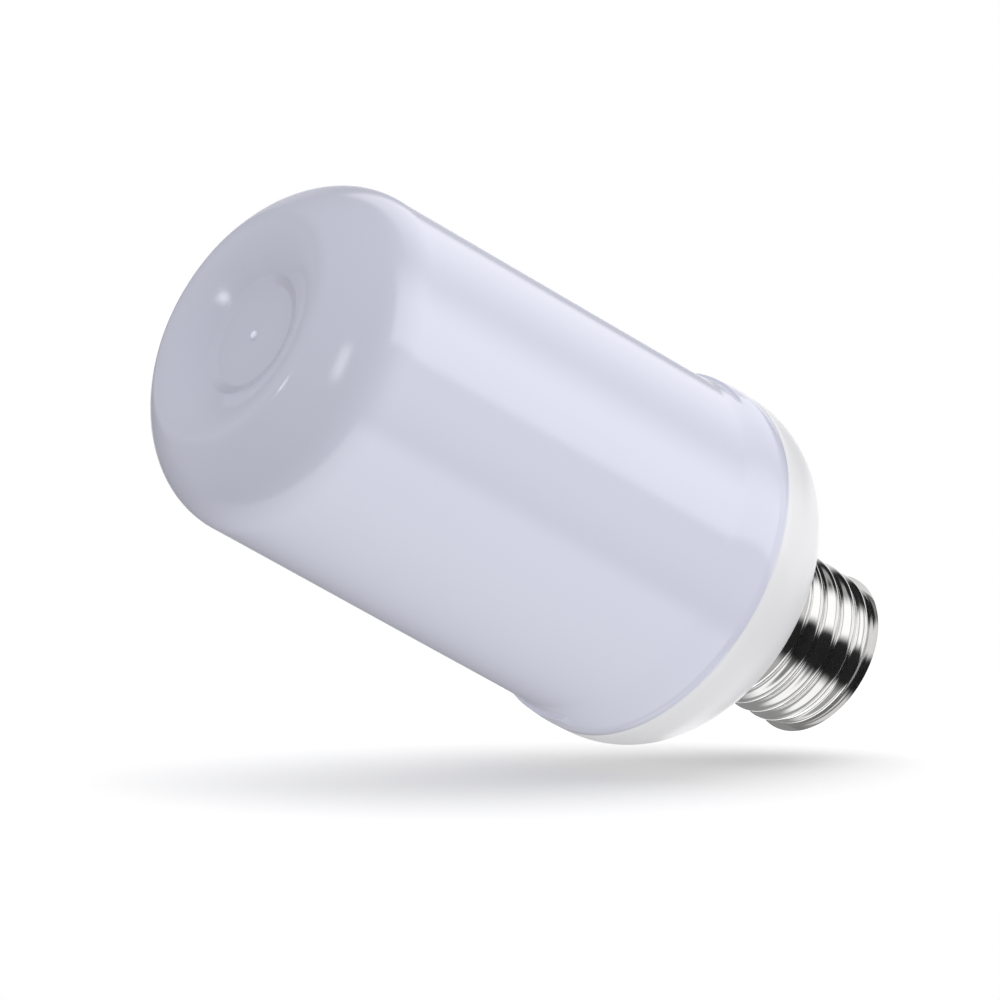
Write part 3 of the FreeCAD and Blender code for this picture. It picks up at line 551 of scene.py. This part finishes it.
def end_profile(inset):
    """The dished end from the edge of the recess to the top of the side, moved in by inset."""
    run, rise = SHOULDER[0] - inset, SHOULDER[1] - inset
    centre = (SIDE_TOP[0] - SHOULDER[0], SIDE_TOP[1])
    start = math.radians(SHOULDER_START)
    shoulder = (centre[0] + run * math.cos(start), centre[1] + rise * math.sin(start))
    crest_r = centre[0] + SHOULDER[0] * math.cos(start) - CREST_BACK
    crest_z = centre[1] + SHOULDER[1] * math.sin(start) + CREST_RISE - inset
    edge = (RECESS_R + inset * 0.3, crest_z - DISH_SINK)
    back = Vector((-run * math.sin(start), rise * math.cos(start))).normalized()
    push = (shoulder[0] - crest_r) * 0.4
    points = [edge]
    for k in range(1, DISH_STEPS + 1):
        t = k / DISH_STEPS
        points.append((edge[0] + (crest_r - edge[0]) * t,
                       crest_z - (crest_z - edge[1]) * (1 - t) ** DISH_BEND))
    points += curve_points((crest_r, crest_z), (crest_r + push, crest_z),
                           (shoulder[0] + back.x * push, shoulder[1] + back.y * push), shoulder, 6)
    points += arc_points(centre, run, rise, SHOULDER_START, 0, SHOULDER_STEPS)[1:]
    return points


print("crest of the dished end at", round(max(z for r, z in end_profile(0)), 2), "mm")

# %% [markdown]
# The milky cover
#
# On the real bulb this is one moulding in a milky, slightly lavender plastic. In the middle of its end is a
# shallow recess, with the nub where the plastic went in. At the other end the side flares over a lip to a
# collar, and a skirt with a snap groove goes on inside the base. One profile makes all of it, inside and
# outside, because it is one piece.

# %% Cover profile
SIDE_FOOT = (27.75, 51.4)
LIP_Z = 47.6
LIP_ROOT_R = 28.1
LIP_IN = 0.3
COLLAR_R = 28.98
COLLAR_BULGE_Z = 43.9
PARTING_Z = 42.3
COVER_WALL = 1.5
RECESS_RUN = 1.4
RECESS_DEPTH = 0.55
NUB_H, NUB_TOP_R, NUB_FOOT_R = 0.4, 0.45, 0.8
SKIRT_R = 26.6
SKIRT_WALL = 1.4
SKIRT_LENGTH = 3.7


def cover_profile():
    outside = end_profile(0)
    inside = end_profile(COVER_WALL)
    floor_z = outside[0][1] - RECESS_DEPTH
    roof_z = floor_z - COVER_WALL
    loop = [(0, floor_z + NUB_H), (NUB_TOP_R, floor_z + NUB_H, 0.12), (NUB_FOOT_R, floor_z, 0.2),
            (RECESS_R - RECESS_RUN, floor_z, 0.4), (*outside[0], 0.4)]
    loop += outside[1:]
    lip = (COLLAR_R - LIP_IN, LIP_Z)
    root = (LIP_ROOT_R, LIP_Z + 0.45)
    loop += curve_points(SIDE_FOOT, (SIDE_FOOT[0] + 0.02, SIDE_FOOT[1] - 1.4),
                         (LIP_ROOT_R, LIP_Z + 1.8), root, 10)
    loop += curve_points(root, (LIP_ROOT_R, LIP_Z + 0.12), (lip[0] - 0.1, LIP_Z + 0.2), lip, 10)
    drop = LIP_Z - COLLAR_BULGE_Z
    loop += curve_points(lip, (lip[0] + 0.12, lip[1] - drop * 0.35),
                         (COLLAR_R, COLLAR_BULGE_Z + drop * 0.35), (COLLAR_R, COLLAR_BULGE_Z), 12)
    loop += [(COLLAR_R - 0.01, PARTING_Z + 0.06), (COLLAR_R - 0.05, PARTING_Z), (SKIRT_R, PARTING_Z),
             (SKIRT_R, PARTING_Z - 1.3), (SKIRT_R + 0.4, PARTING_Z - 2.1, 0.15),
             (SKIRT_R, PARTING_Z - 2.9), (SKIRT_R, PARTING_Z - SKIRT_LENGTH),
             (SKIRT_R - SKIRT_WALL, PARTING_Z - SKIRT_LENGTH),
             (SKIRT_R - SKIRT_WALL, PARTING_Z + 1.5), (26.31, PARTING_Z + 5.5)]
    loop += inside[:0:-1]
    loop += [inside[0], (9.8, roof_z), (0, roof_z)]
    return loop


cover = lathe("milky_cover", rounded(cover_profile()))

# %% [markdown]
# The two lugs
#
# A turned lip would run all the way round, but in the photograph it only shows where it faces the two sides,
# as a small step in the outline. So the lip is turned whole, and then the points of the flare between the two
# lugs are moved to a soft slope. Moving points keeps the mesh closed and adds no faces.

# %% Lugs
# Sideways share of a point's direction at which a lug starts, and at which it is whole
LUG_EDGE = (0.945, 0.972)


def smooth(share):
    """A share between 0 and 1, eased at both ends."""
    return share * share * (3 - 2 * share)


def lugs_only(piece):
    """Keeps the lip only where it faces +X and -X; between these two lugs the side flares out softly."""
    moved = 0
    for vertex in piece.data.vertices:
        x, y, z = vertex.co / MM
        reach = math.hypot(x, y)
        if reach < SIDE_FOOT[0] - 0.2 or not COLLAR_BULGE_Z < z < SIDE_FOOT[1]:
            continue
        down = (SIDE_FOOT[1] - z) / (SIDE_FOOT[1] - COLLAR_BULGE_Z)
        flare = SIDE_FOOT[0] + (COLLAR_R - SIDE_FOOT[0]) * smooth(down)
        sideways = (abs(x) / reach - LUG_EDGE[0]) / (LUG_EDGE[1] - LUG_EDGE[0])
        grow = (flare + (reach - flare) * smooth(min(max(sideways, 0), 1))) / reach
        vertex.co = (x * grow * MM, y * grow * MM, z * MM)
        moved += 1
    print("lip softened at", moved, "points")


lugs_only(cover)

# %% [markdown]
# The white base
#
# Below the collar sits a bowl in opaque white plastic, and its neck reaches down inside the cap. Only a
# slice of it shows, but it still needs its hollow, its wall and the rounded rim at the joint. Its groove
# takes the cover's skirt, so that the two would hold together as the real ones do.

# %% Base
CAP_RIM_Z = 26.4
BOWL_R = 28.95
BOWL_ROUND = 14.9
BOWL_WALL = 1.8
GROOVE_R = 26.8
NECK_TOP_R, NECK_R, NECK_BORE_R = 12.72, 11.75, 10.25
NECK_LOW_Z = 8.5


def base_profile():
    centre = (BOWL_R - BOWL_ROUND, CAP_RIM_Z + BOWL_ROUND)
    inner_round = BOWL_ROUND - BOWL_WALL
    loop = [(GROOVE_R, PARTING_Z), (BOWL_R - 0.04, PARTING_Z), (BOWL_R - 0.01, PARTING_Z - 0.05)]
    loop += arc_points(centre, BOWL_ROUND, BOWL_ROUND, 0, -90, 40)
    loop += [(NECK_TOP_R, CAP_RIM_Z), (NECK_TOP_R, 19.9), (NECK_R, 19.2), (NECK_R, NECK_LOW_Z, 0.3),
             (NECK_BORE_R, NECK_LOW_Z, 0.3), (NECK_BORE_R, CAP_RIM_Z + BOWL_WALL, 0.5)]
    loop += arc_points(centre, inner_round, inner_round, -90, -13.3, 24)
    loop += [(GROOVE_R, PARTING_Z - 3.2), (GROOVE_R + 0.4, PARTING_Z - 2.1, 0.15),
             (GROOVE_R, PARTING_Z - 1.0)]
    return loop


base = lathe("white_base", rounded(base_profile()))

# %% [markdown]
# The blank of the cap
#
# A real screw cap starts as a plain cup of thin plated sheet, with its lip turned in at the foot, and rollers
# then press the round thread into it. The blank is turned first, with many rows up its side, because a row is
# what the rolling can move. A helix curve with a profile would leave a seam at both of its ends.

# %% Blank cup
THREAD_LOW = 4.6
PLAIN_R = 13.27
VALLEY_R = 12.3
SHEET = 0.35
TURN_IN_R = 9.4
TURN_IN_Z = 3.3
CUP_ROWS = 150


def blank_profile():
    """The cup before rolling: straight from the rim down, with a lip turned in at the foot."""
    outer = [(PLAIN_R, CAP_RIM_Z, 0.12)]
    outer += [(PLAIN_R, CAP_RIM_Z - (CAP_RIM_Z - THREAD_LOW) * k / CUP_ROWS) for k in range(1, CUP_ROWS + 1)]
    outer += curve_points((VALLEY_R, THREAD_LOW), (VALLEY_R - 0.3, TURN_IN_Z + 0.48),
                          (TURN_IN_R + 1.2, TURN_IN_Z), (TURN_IN_R, TURN_IN_Z), 14)[1:]
    inside_z = TURN_IN_Z + SHEET
    inner = [(TURN_IN_R, inside_z)]
    inner += curve_points((TURN_IN_R, inside_z), (TURN_IN_R + 1.1, inside_z),
                          (VALLEY_R - SHEET - 0.4, inside_z + 0.6), (VALLEY_R - SHEET, THREAD_LOW + 0.1), 10)
    foot_z = THREAD_LOW + 0.2
    inner += [(PLAIN_R - SHEET, foot_z + (CAP_RIM_Z - foot_z) * k / CUP_ROWS) for k in range(CUP_ROWS + 1)]
    return outer + inner


cap = lathe("rolled_cap", rounded(blank_profile()), steps_round=288)

# %% [markdown]
# The rolled wave
#
# Rolling is a rule, so Geometry Nodes does it: every point moves in or out by a wave that climbs one pitch in
# each turn, and the same wave shows inside and outside, as in pressed sheet. Towards the rim the wave fades
# into the plain sheet, and at the foot it fades into the valley, as on the real cap.

# %% Thread wave
PITCH = 3.629
THREAD_TURN = 21.0
THREAD_HIGH = 20.2
CREST_R = 13.15
HEAD_FADE = 1.7
FOOT_FADE = 3.4


def thread_wave(tree, given, parts):
    """The radius of the rolled sheet at a point."""
    azimuth = maths(tree, "ARCTAN2", (parts, "Y"), (parts, "X"))
    turns = maths(tree, "DIVIDE", (parts, "Z"), (given, "Pitch"))
    climb = maths(tree, "MULTIPLY", turns, 2 * math.pi)
    phase = maths(tree, "ADD", maths(tree, "SUBTRACT", climb, azimuth), (given, "Turn"))
    half = maths(tree, "MULTIPLY", maths(tree, "SUBTRACT", (given, "Crest"), (given, "Valley")), 0.5)
    middle = maths(tree, "ADD", (given, "Valley"), half)
    return maths(tree, "ADD", middle, maths(tree, "MULTIPLY", half, maths(tree, "COSINE", phase)))


def thread_shift(tree, given, parts):
    """How far a point moves out: nothing under the thread, the valley at its foot, nothing at its head."""
    rolled = maths(tree, "SUBTRACT", thread_wave(tree, given, parts), (given, "Plain"))
    to_valley = maths(tree, "SUBTRACT", (given, "Valley"), (given, "Plain"))
    head_full = maths(tree, "SUBTRACT", (given, "High"), (given, "Head fade"))
    foot_full = maths(tree, "ADD", (given, "Low"), (given, "Foot fade"))
    headed = maths(tree, "MULTIPLY", rolled, soft_ramp(tree, (parts, "Z"), (given, "High"), head_full))
    over_valley = maths(tree, "MULTIPLY", maths(tree, "SUBTRACT", headed, to_valley),
                        soft_ramp(tree, (parts, "Z"), (given, "Low"), foot_full))
    in_thread = maths(tree, "GREATER_THAN", (parts, "Z"), (given, "Low"))
    return maths(tree, "MULTIPLY", maths(tree, "ADD", over_valley, to_valley), in_thread)


print("thread of", round((THREAD_HIGH - THREAD_LOW) / PITCH, 1), "turns,",
      round(CREST_R - VALLEY_R, 2), "mm deep")

# %% [markdown]
# The rolling tree
#
# The tree has a named input for each size, so that another cap only needs other numbers. It splits each
# point's place, moves the point straight out from the axis by the shift above, and gives the metal its
# finish. It is run once and its result kept as an ordinary mesh, which is what an export needs.

# %% Rolling tree
def rolling_tree(metal):
    """Geometry Nodes: presses the knuckle thread into the blank cup."""
    tree = bpy.data.node_groups.new("roll_thread", "GeometryNodeTree")
    tree.interface.new_socket("Geometry", in_out="INPUT", socket_type="NodeSocketGeometry")
    sockets = {}
    for name, value in (("Pitch", PITCH * MM), ("Turn", math.radians(THREAD_TURN)), ("Low", THREAD_LOW * MM),
                        ("High", THREAD_HIGH * MM), ("Head fade", HEAD_FADE * MM),
                        ("Foot fade", FOOT_FADE * MM), ("Crest", CREST_R * MM),
                        ("Valley", VALLEY_R * MM), ("Plain", PLAIN_R * MM)):
        socket = tree.interface.new_socket(name, in_out="INPUT", socket_type="NodeSocketFloat")
        socket.default_value = value
        sockets[name] = socket.identifier
    tree.interface.new_socket("Geometry", in_out="OUTPUT", socket_type="NodeSocketGeometry")
    given = add(tree, "NodeGroupInput")
    place = add(tree, "GeometryNodeInputPosition")
    parts = add(tree, "ShaderNodeSeparateXYZ")
    feed(tree, (place, 0), parts, 0)
    flat = add(tree, "ShaderNodeCombineXYZ")
    for axis in "XY":
        feed(tree, (parts, axis), flat, axis)
    outward = add(tree, "ShaderNodeVectorMath", operation="NORMALIZE")
    feed(tree, (flat, 0), outward, 0)
    push = add(tree, "ShaderNodeVectorMath", operation="SCALE")
    feed(tree, (outward, 0), push, 0)
    feed(tree, thread_shift(tree, given, parts), push, "Scale")
    move = add(tree, "GeometryNodeSetPosition")
    feed(tree, (given, "Geometry"), move, "Geometry")
    feed(tree, (push, 0), move, "Offset")
    real = add(tree, "GeometryNodeRealizeInstances")
    feed(tree, (move, 0), real, 0)
    coat = add(tree, "GeometryNodeSetMaterial", {"Material": metal})
    feed(tree, (real, 0), coat, 0)
    out = add(tree, "NodeGroupOutput")
    feed(tree, (coat, 0), out, 0)
    return tree, sockets


def made_plain(piece, tree, values):
    """Runs the tree on the piece once and leaves an ordinary mesh."""
    modifier = piece.modifiers.new("nodes", "NODES")
    modifier.node_group = tree
    for identifier, value in values.items():
        modifier[identifier] = value
    bpy.context.view_layer.update()
    mesh = bpy.data.meshes.new_from_object(piece.evaluated_get(bpy.context.evaluated_depsgraph_get()))
    piece.modifiers.remove(modifier)
    piece.data = mesh
    return piece


print("tree builders:", rolling_tree.__name__, made_plain.__name__)

# %% [markdown]
# Finishes
#
# Nothing that comes out of a mould or off a roller is one flat colour. Each finish is a Principled surface
# with the small unevenness that the real process leaves: colour, roughness and height all wander a little.
# The noise is placed by Object coordinates, so that it stays with the piece. A picture of a surface could do
# it too, but it needs unwrapping and stops at its own sharpness.

# %% Finish helper
def finish(name, colour, roughness, metallic=0.0, ior=1.5, vary=0.03, vary_scale=60.0, bump=0.0,
           bump_scale=800.0, stretch=(1, 1, 1), rough_vary=0.03):
    """A surface whose colour, roughness and height all wander a little."""
    material = bpy.data.materials.new(name)
    material.use_nodes = True
    tree = material.node_tree
    tree.nodes.clear()
    surface = add(tree, "ShaderNodeBsdfPrincipled", {"Metallic": metallic, "IOR": ior})
    out = add(tree, "ShaderNodeOutputMaterial")
    feed(tree, (surface, 0), out, "Surface")
    place = add(tree, "ShaderNodeTexCoord")
    mapping = add(tree, "ShaderNodeMapping", {"Scale": stretch})
    feed(tree, (place, "Object"), mapping, "Vector")
    cloud = add(tree, "ShaderNodeTexNoise", {"Scale": vary_scale, "Detail": 3.0})
    feed(tree, (mapping, 0), cloud, "Vector")
    tint = add(tree, "ShaderNodeMix", data_type="RGBA")
    tint.inputs[6].default_value = (*[c * (1 - vary) for c in colour], 1)
    tint.inputs[7].default_value = (*[min(c * (1 + vary), 1) for c in colour], 1)
    feed(tree, (cloud, 0), tint, 0)
    feed(tree, (tint, 2), surface, "Base Color")
    rough = add(tree, "ShaderNodeMapRange", {"To Min": max(roughness - rough_vary, 0.02),
                                             "To Max": roughness + rough_vary})
    feed(tree, (cloud, 0), rough, "Value")
    feed(tree, (rough, "Result"), surface, "Roughness")
    if bump:
        grain = add(tree, "ShaderNodeTexNoise", {"Scale": bump_scale, "Detail": 2.0})
        feed(tree, (mapping, 0), grain, "Vector")
        raised = add(tree, "ShaderNodeBump", {"Strength": 1.0, "Distance": bump})
        feed(tree, (grain, 0), raised, "Height")
        feed(tree, (raised, 0), surface, "Normal")
    return material


milky = finish("milky_plastic", (0.615, 0.625, 0.74), 0.15, ior=1.47, vary=0.012, vary_scale=25,
               bump=0.000004, bump_scale=400, rough_vary=0.02)
print("first finish:", milky.name)

# %% [markdown]
# Painted shade and a painted highlight on the milky plastic
#
# Three soft zones of light and shade are painted into the colour in Object coordinates, which hold from every
# side. The end is painted darker past the top of the side, as painted shade where the end gets less light. The
# sloping step round the recess is seen edge on at its front, and a thin dark crescent of painted shade is put
# there. The nub is painted paler, as a painted highlight. Letting light through the wall would show the first
# two, but it costs a long render for a difference of a tenth, so they are painted.

# %% Painted shade and highlight
END_SHADE = (113 * MM, 120.5 * MM, 0.82)
# painted shade: how far the crescent on the front of the recess step darkens the colour
STEP_SHADE = 0.86
# painted highlight: how much paler the nub is painted
NUB_HIGHLIGHT = 1.5
# Heights between which the zones that are given by distance from the axis start, so that they stay on the end
ONLY_END = (100 * MM, 110 * MM)


def scale_tint(material, amounts, share):
    """Multiplies the finish's colour by share, as far as the product of the amounts goes."""
    tree = material.node_tree
    surface = next(node for node in tree.nodes if node.type == "BSDF_PRINCIPLED")
    tint = surface.inputs["Base Color"].links[0].from_socket
    change = maths(tree, "MULTIPLY", product(tree, amounts), 1.0 - share)
    scaled = add(tree, "ShaderNodeVectorMath", operation="SCALE")
    tree.links.new(tint, scaled.inputs[0])
    feed(tree, maths(tree, "SUBTRACT", 1.0, change), scaled, "Scale")
    feed(tree, (scaled, 0), surface, "Base Color")


def paint_cover_light(material):
    """Painted shade on the end, a painted crescent of shade on the step's front side, and a painted highlight
    on the nub.
    """
    tree = material.node_tree
    parts = coordinates(tree)
    reach = axis_reach(tree, parts)
    forward = maths(tree, "DIVIDE", (parts, "Y"), reach)
    on_end = soft_ramp(tree, (parts, "Z"), *ONLY_END)
    low, high, share = END_SHADE
    inner, outer = (RECESS_R - RECESS_RUN) * MM, (RECESS_R + 0.1) * MM
    # painted shade: the end of the cover is darker past the top of its side
    scale_tint(material, [soft_ramp(tree, (parts, "Z"), low, high)], share)
    # painted shade: a dark crescent on the step's front side, the side that faces -Y
    scale_tint(material, [soft_ramp(tree, reach, inner - 0.3 * MM, inner + 0.3 * MM),
                          soft_ramp(tree, reach, outer + 0.25 * MM, outer - 0.25 * MM),
                          soft_ramp(tree, forward, 0.45, -0.15), on_end], STEP_SHADE)
    # painted highlight: the nub is painted paler
    scale_tint(material, [soft_ramp(tree, reach, NUB_FOOT_R * MM, NUB_FOOT_R * 0.6 * MM), on_end], NUB_HIGHLIGHT)


paint_cover_light(milky)
print("milky plastic has", len(milky.node_tree.nodes), "nodes")

# %% [markdown]
# The other outside finishes
#
# The base is an opaque white plastic with a fine grain that keeps its shine soft. The cap is bright plating
# over rolled sheet: nearly a mirror, with faint marks that run round it, which is why its noise is squeezed
# along the axis. The disc between cap and contact is black, and the contact has the dull tone of solder.

# %% Outside finishes
white = finish("white_plastic", (0.74, 0.74, 0.755), 0.34, ior=1.5, vary=0.01, vary_scale=40,
               bump=0.000006, bump_scale=1500)
plated = finish("bright_plating", (0.66, 0.655, 0.65), 0.12, metallic=1.0, vary=0.05, vary_scale=60,
                bump=0.000006, bump_scale=250, stretch=(1, 1, 12), rough_vary=0.04)
dark_disc = finish("dark_disc", (0.02, 0.02, 0.022), 0.3, bump=0.00001, bump_scale=900)
soldered = finish("contact_plating", (0.62, 0.6, 0.56), 0.3, metallic=1.0, vary=0.06, vary_scale=300,
                  bump=0.00003, bump_scale=500)
print("outside finishes:", white.name, plated.name, dark_disc.name, soldered.name)

# %% [markdown]
# Rolling the cap
#
# Now the metal is ready and the blank can be rolled. The pitch and the turn are given to the modifier by the
# socket's identifier, because two sockets may have the same name. The turn sets where the crests stand, and
# it was read from the photograph.

# %% Roll the cap
tree, sockets = rolling_tree(plated)
made_plain(cap, tree, {sockets["Pitch"]: PITCH * MM, sockets["Turn"]: math.radians(THREAD_TURN)})
cap.data.shade_smooth()
cap.data.set_sharp_from_angle(angle=math.radians(50))
print("cap reaches", [round(v / MM, 2) for v in cap.dimensions])

# %% [markdown]
# The tip of the cap
#
# The sheet shell and the centre contact carry the two sides of the mains, so a disc keeps them apart, and the
# contact is a crowned rivet through it. Neither can be seen in the photograph, but the bulb is also looked at
# from below. They are small turned parts, so they come off the same lathe with fewer steps round.

# %% Disc and contact
TIP_STEPS_ROUND = 160


def contact_profile():
    loop = [(0, 0), (3.0, 0)]
    loop += curve_points((3.0, 0), (4.25, 0), (5.0, 0.2), (5.0, 0.5), 10)
    loop += [(5.0, 1.5, 0.1), (1.5, 1.5), (1.5, 6.0), (2.5, 6.0), (2.5, 6.5, 0.3), (2.2, 6.8, 0.2), (0, 6.8)]
    return loop


def disc_profile():
    return [(1.55, 1.5), (5.7, 1.5, 0.2), (9.35, 3.1, 0.2), (9.35, 3.7), (10.1, 4.05, 0.1), (10.6, 4.6, 0.1),
            (10.6, 6.0, 0.3), (1.55, 6.0)]


disc = lathe("cap_disc", rounded(disc_profile()), steps_round=TIP_STEPS_ROUND)
contact = lathe("tip_contact", rounded(contact_profile()), steps_round=TIP_STEPS_ROUND)

# %% [markdown]
# Putting the outside pieces in place
#
# Each smooth piece takes the place of the CAD solid that it was made from, in the same spot, and rides on the
# same body. The CAD solids themselves are never moved or changed.

# %% Outside pieces
for piece, node, slot, material in ((cover, "diffuser_cover", "milky_cover", milky),
                                    (base, "base_housing", "white_housing", white),
                                    (cap, "screw_shell", "plated_shell", plated),
                                    (disc, "cap_insulator", "dark_insulator", dark_disc),
                                    (contact, "centre_contact", "contact_metal", soldered)):
    piece.data.materials.clear()
    piece.data.materials.append(material)
    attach(piece, "root")
    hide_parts(node)
    print(piece.name, "takes the place of", node)

# %% [markdown]
# The parts inside
#
# The tube, the rolled lamp sheet and the boards keep their CAD meshes, because their shapes are exact and
# nobody sees a reflection in them. Each gets the finish of its real material, and parts of one material share
# it, as a maker would order it once.

# %% Inside finishes
# For each node: its material, colour, roughness and share of metal
INSIDE = {
    "board_carrier": ("inner_plastic", (0.7, 0.7, 0.68), 0.45, 0.0),
    "core_tube": ("inner_plastic", (0.7, 0.7, 0.68), 0.45, 0.0),
    "carrier_screws": ("steel", (0.5, 0.5, 0.5), 0.3, 1.0),
    "top_board_screws": ("steel", (0.5, 0.5, 0.5), 0.3, 1.0),
    "led_sheet": ("lamp_board", (0.8, 0.8, 0.78), 0.4, 0.0),
    "top_board": ("lamp_board", (0.8, 0.8, 0.78), 0.4, 0.0),
    "sheet_leds": ("led_body", (0.85, 0.72, 0.3), 0.35, 0.0),
    "top_leds": ("led_body", (0.85, 0.72, 0.3), 0.35, 0.0),
    "driver_board": ("green_board", (0.05, 0.22, 0.09), 0.35, 0.0),
    "bulk_capacitor": ("capacitor_sleeve", (0.02, 0.02, 0.03), 0.35, 0.0),
    "input_capacitor": ("film_box", (0.55, 0.5, 0.1), 0.4, 0.0),
    "choke_core": ("ferrite", (0.05, 0.05, 0.055), 0.5, 0.0),
    "choke_winding": ("enamelled_wire", (0.6, 0.25, 0.08), 0.25, 1.0),
    "bridge_rectifier": ("black_component", (0.02, 0.02, 0.02), 0.4, 0.0),
    "driver_chip": ("black_component", (0.02, 0.02, 0.02), 0.4, 0.0),
    "effect_chip": ("black_component", (0.02, 0.02, 0.02), 0.4, 0.0),
    "tilt_switch": ("steel", (0.5, 0.5, 0.5), 0.3, 1.0),
    "chip_resistors": ("chip_ceramic", (0.3, 0.25, 0.2), 0.4, 0.0),
    "fuse_resistor": ("resistor_coat", (0.1, 0.3, 0.25), 0.4, 0.0),
    "neutral_lead": ("tinned_wire", (0.7, 0.7, 0.68), 0.25, 1.0),
    "sheet_pins": ("tinned_wire", (0.7, 0.7, 0.68), 0.25, 1.0),
}
finishes = {}
for node, (kind, colour, roughness, metallic) in INSIDE.items():
    if kind not in finishes:
        finishes[kind] = finish(kind, colour, roughness, metallic, vary=0.05, vary_scale=300, bump=0.00001)
    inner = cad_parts[node]
    inner.data.materials.clear()
    inner.data.materials.append(finishes[kind])
print(len(finishes), "finishes on", len(INSIDE), "inner nodes")
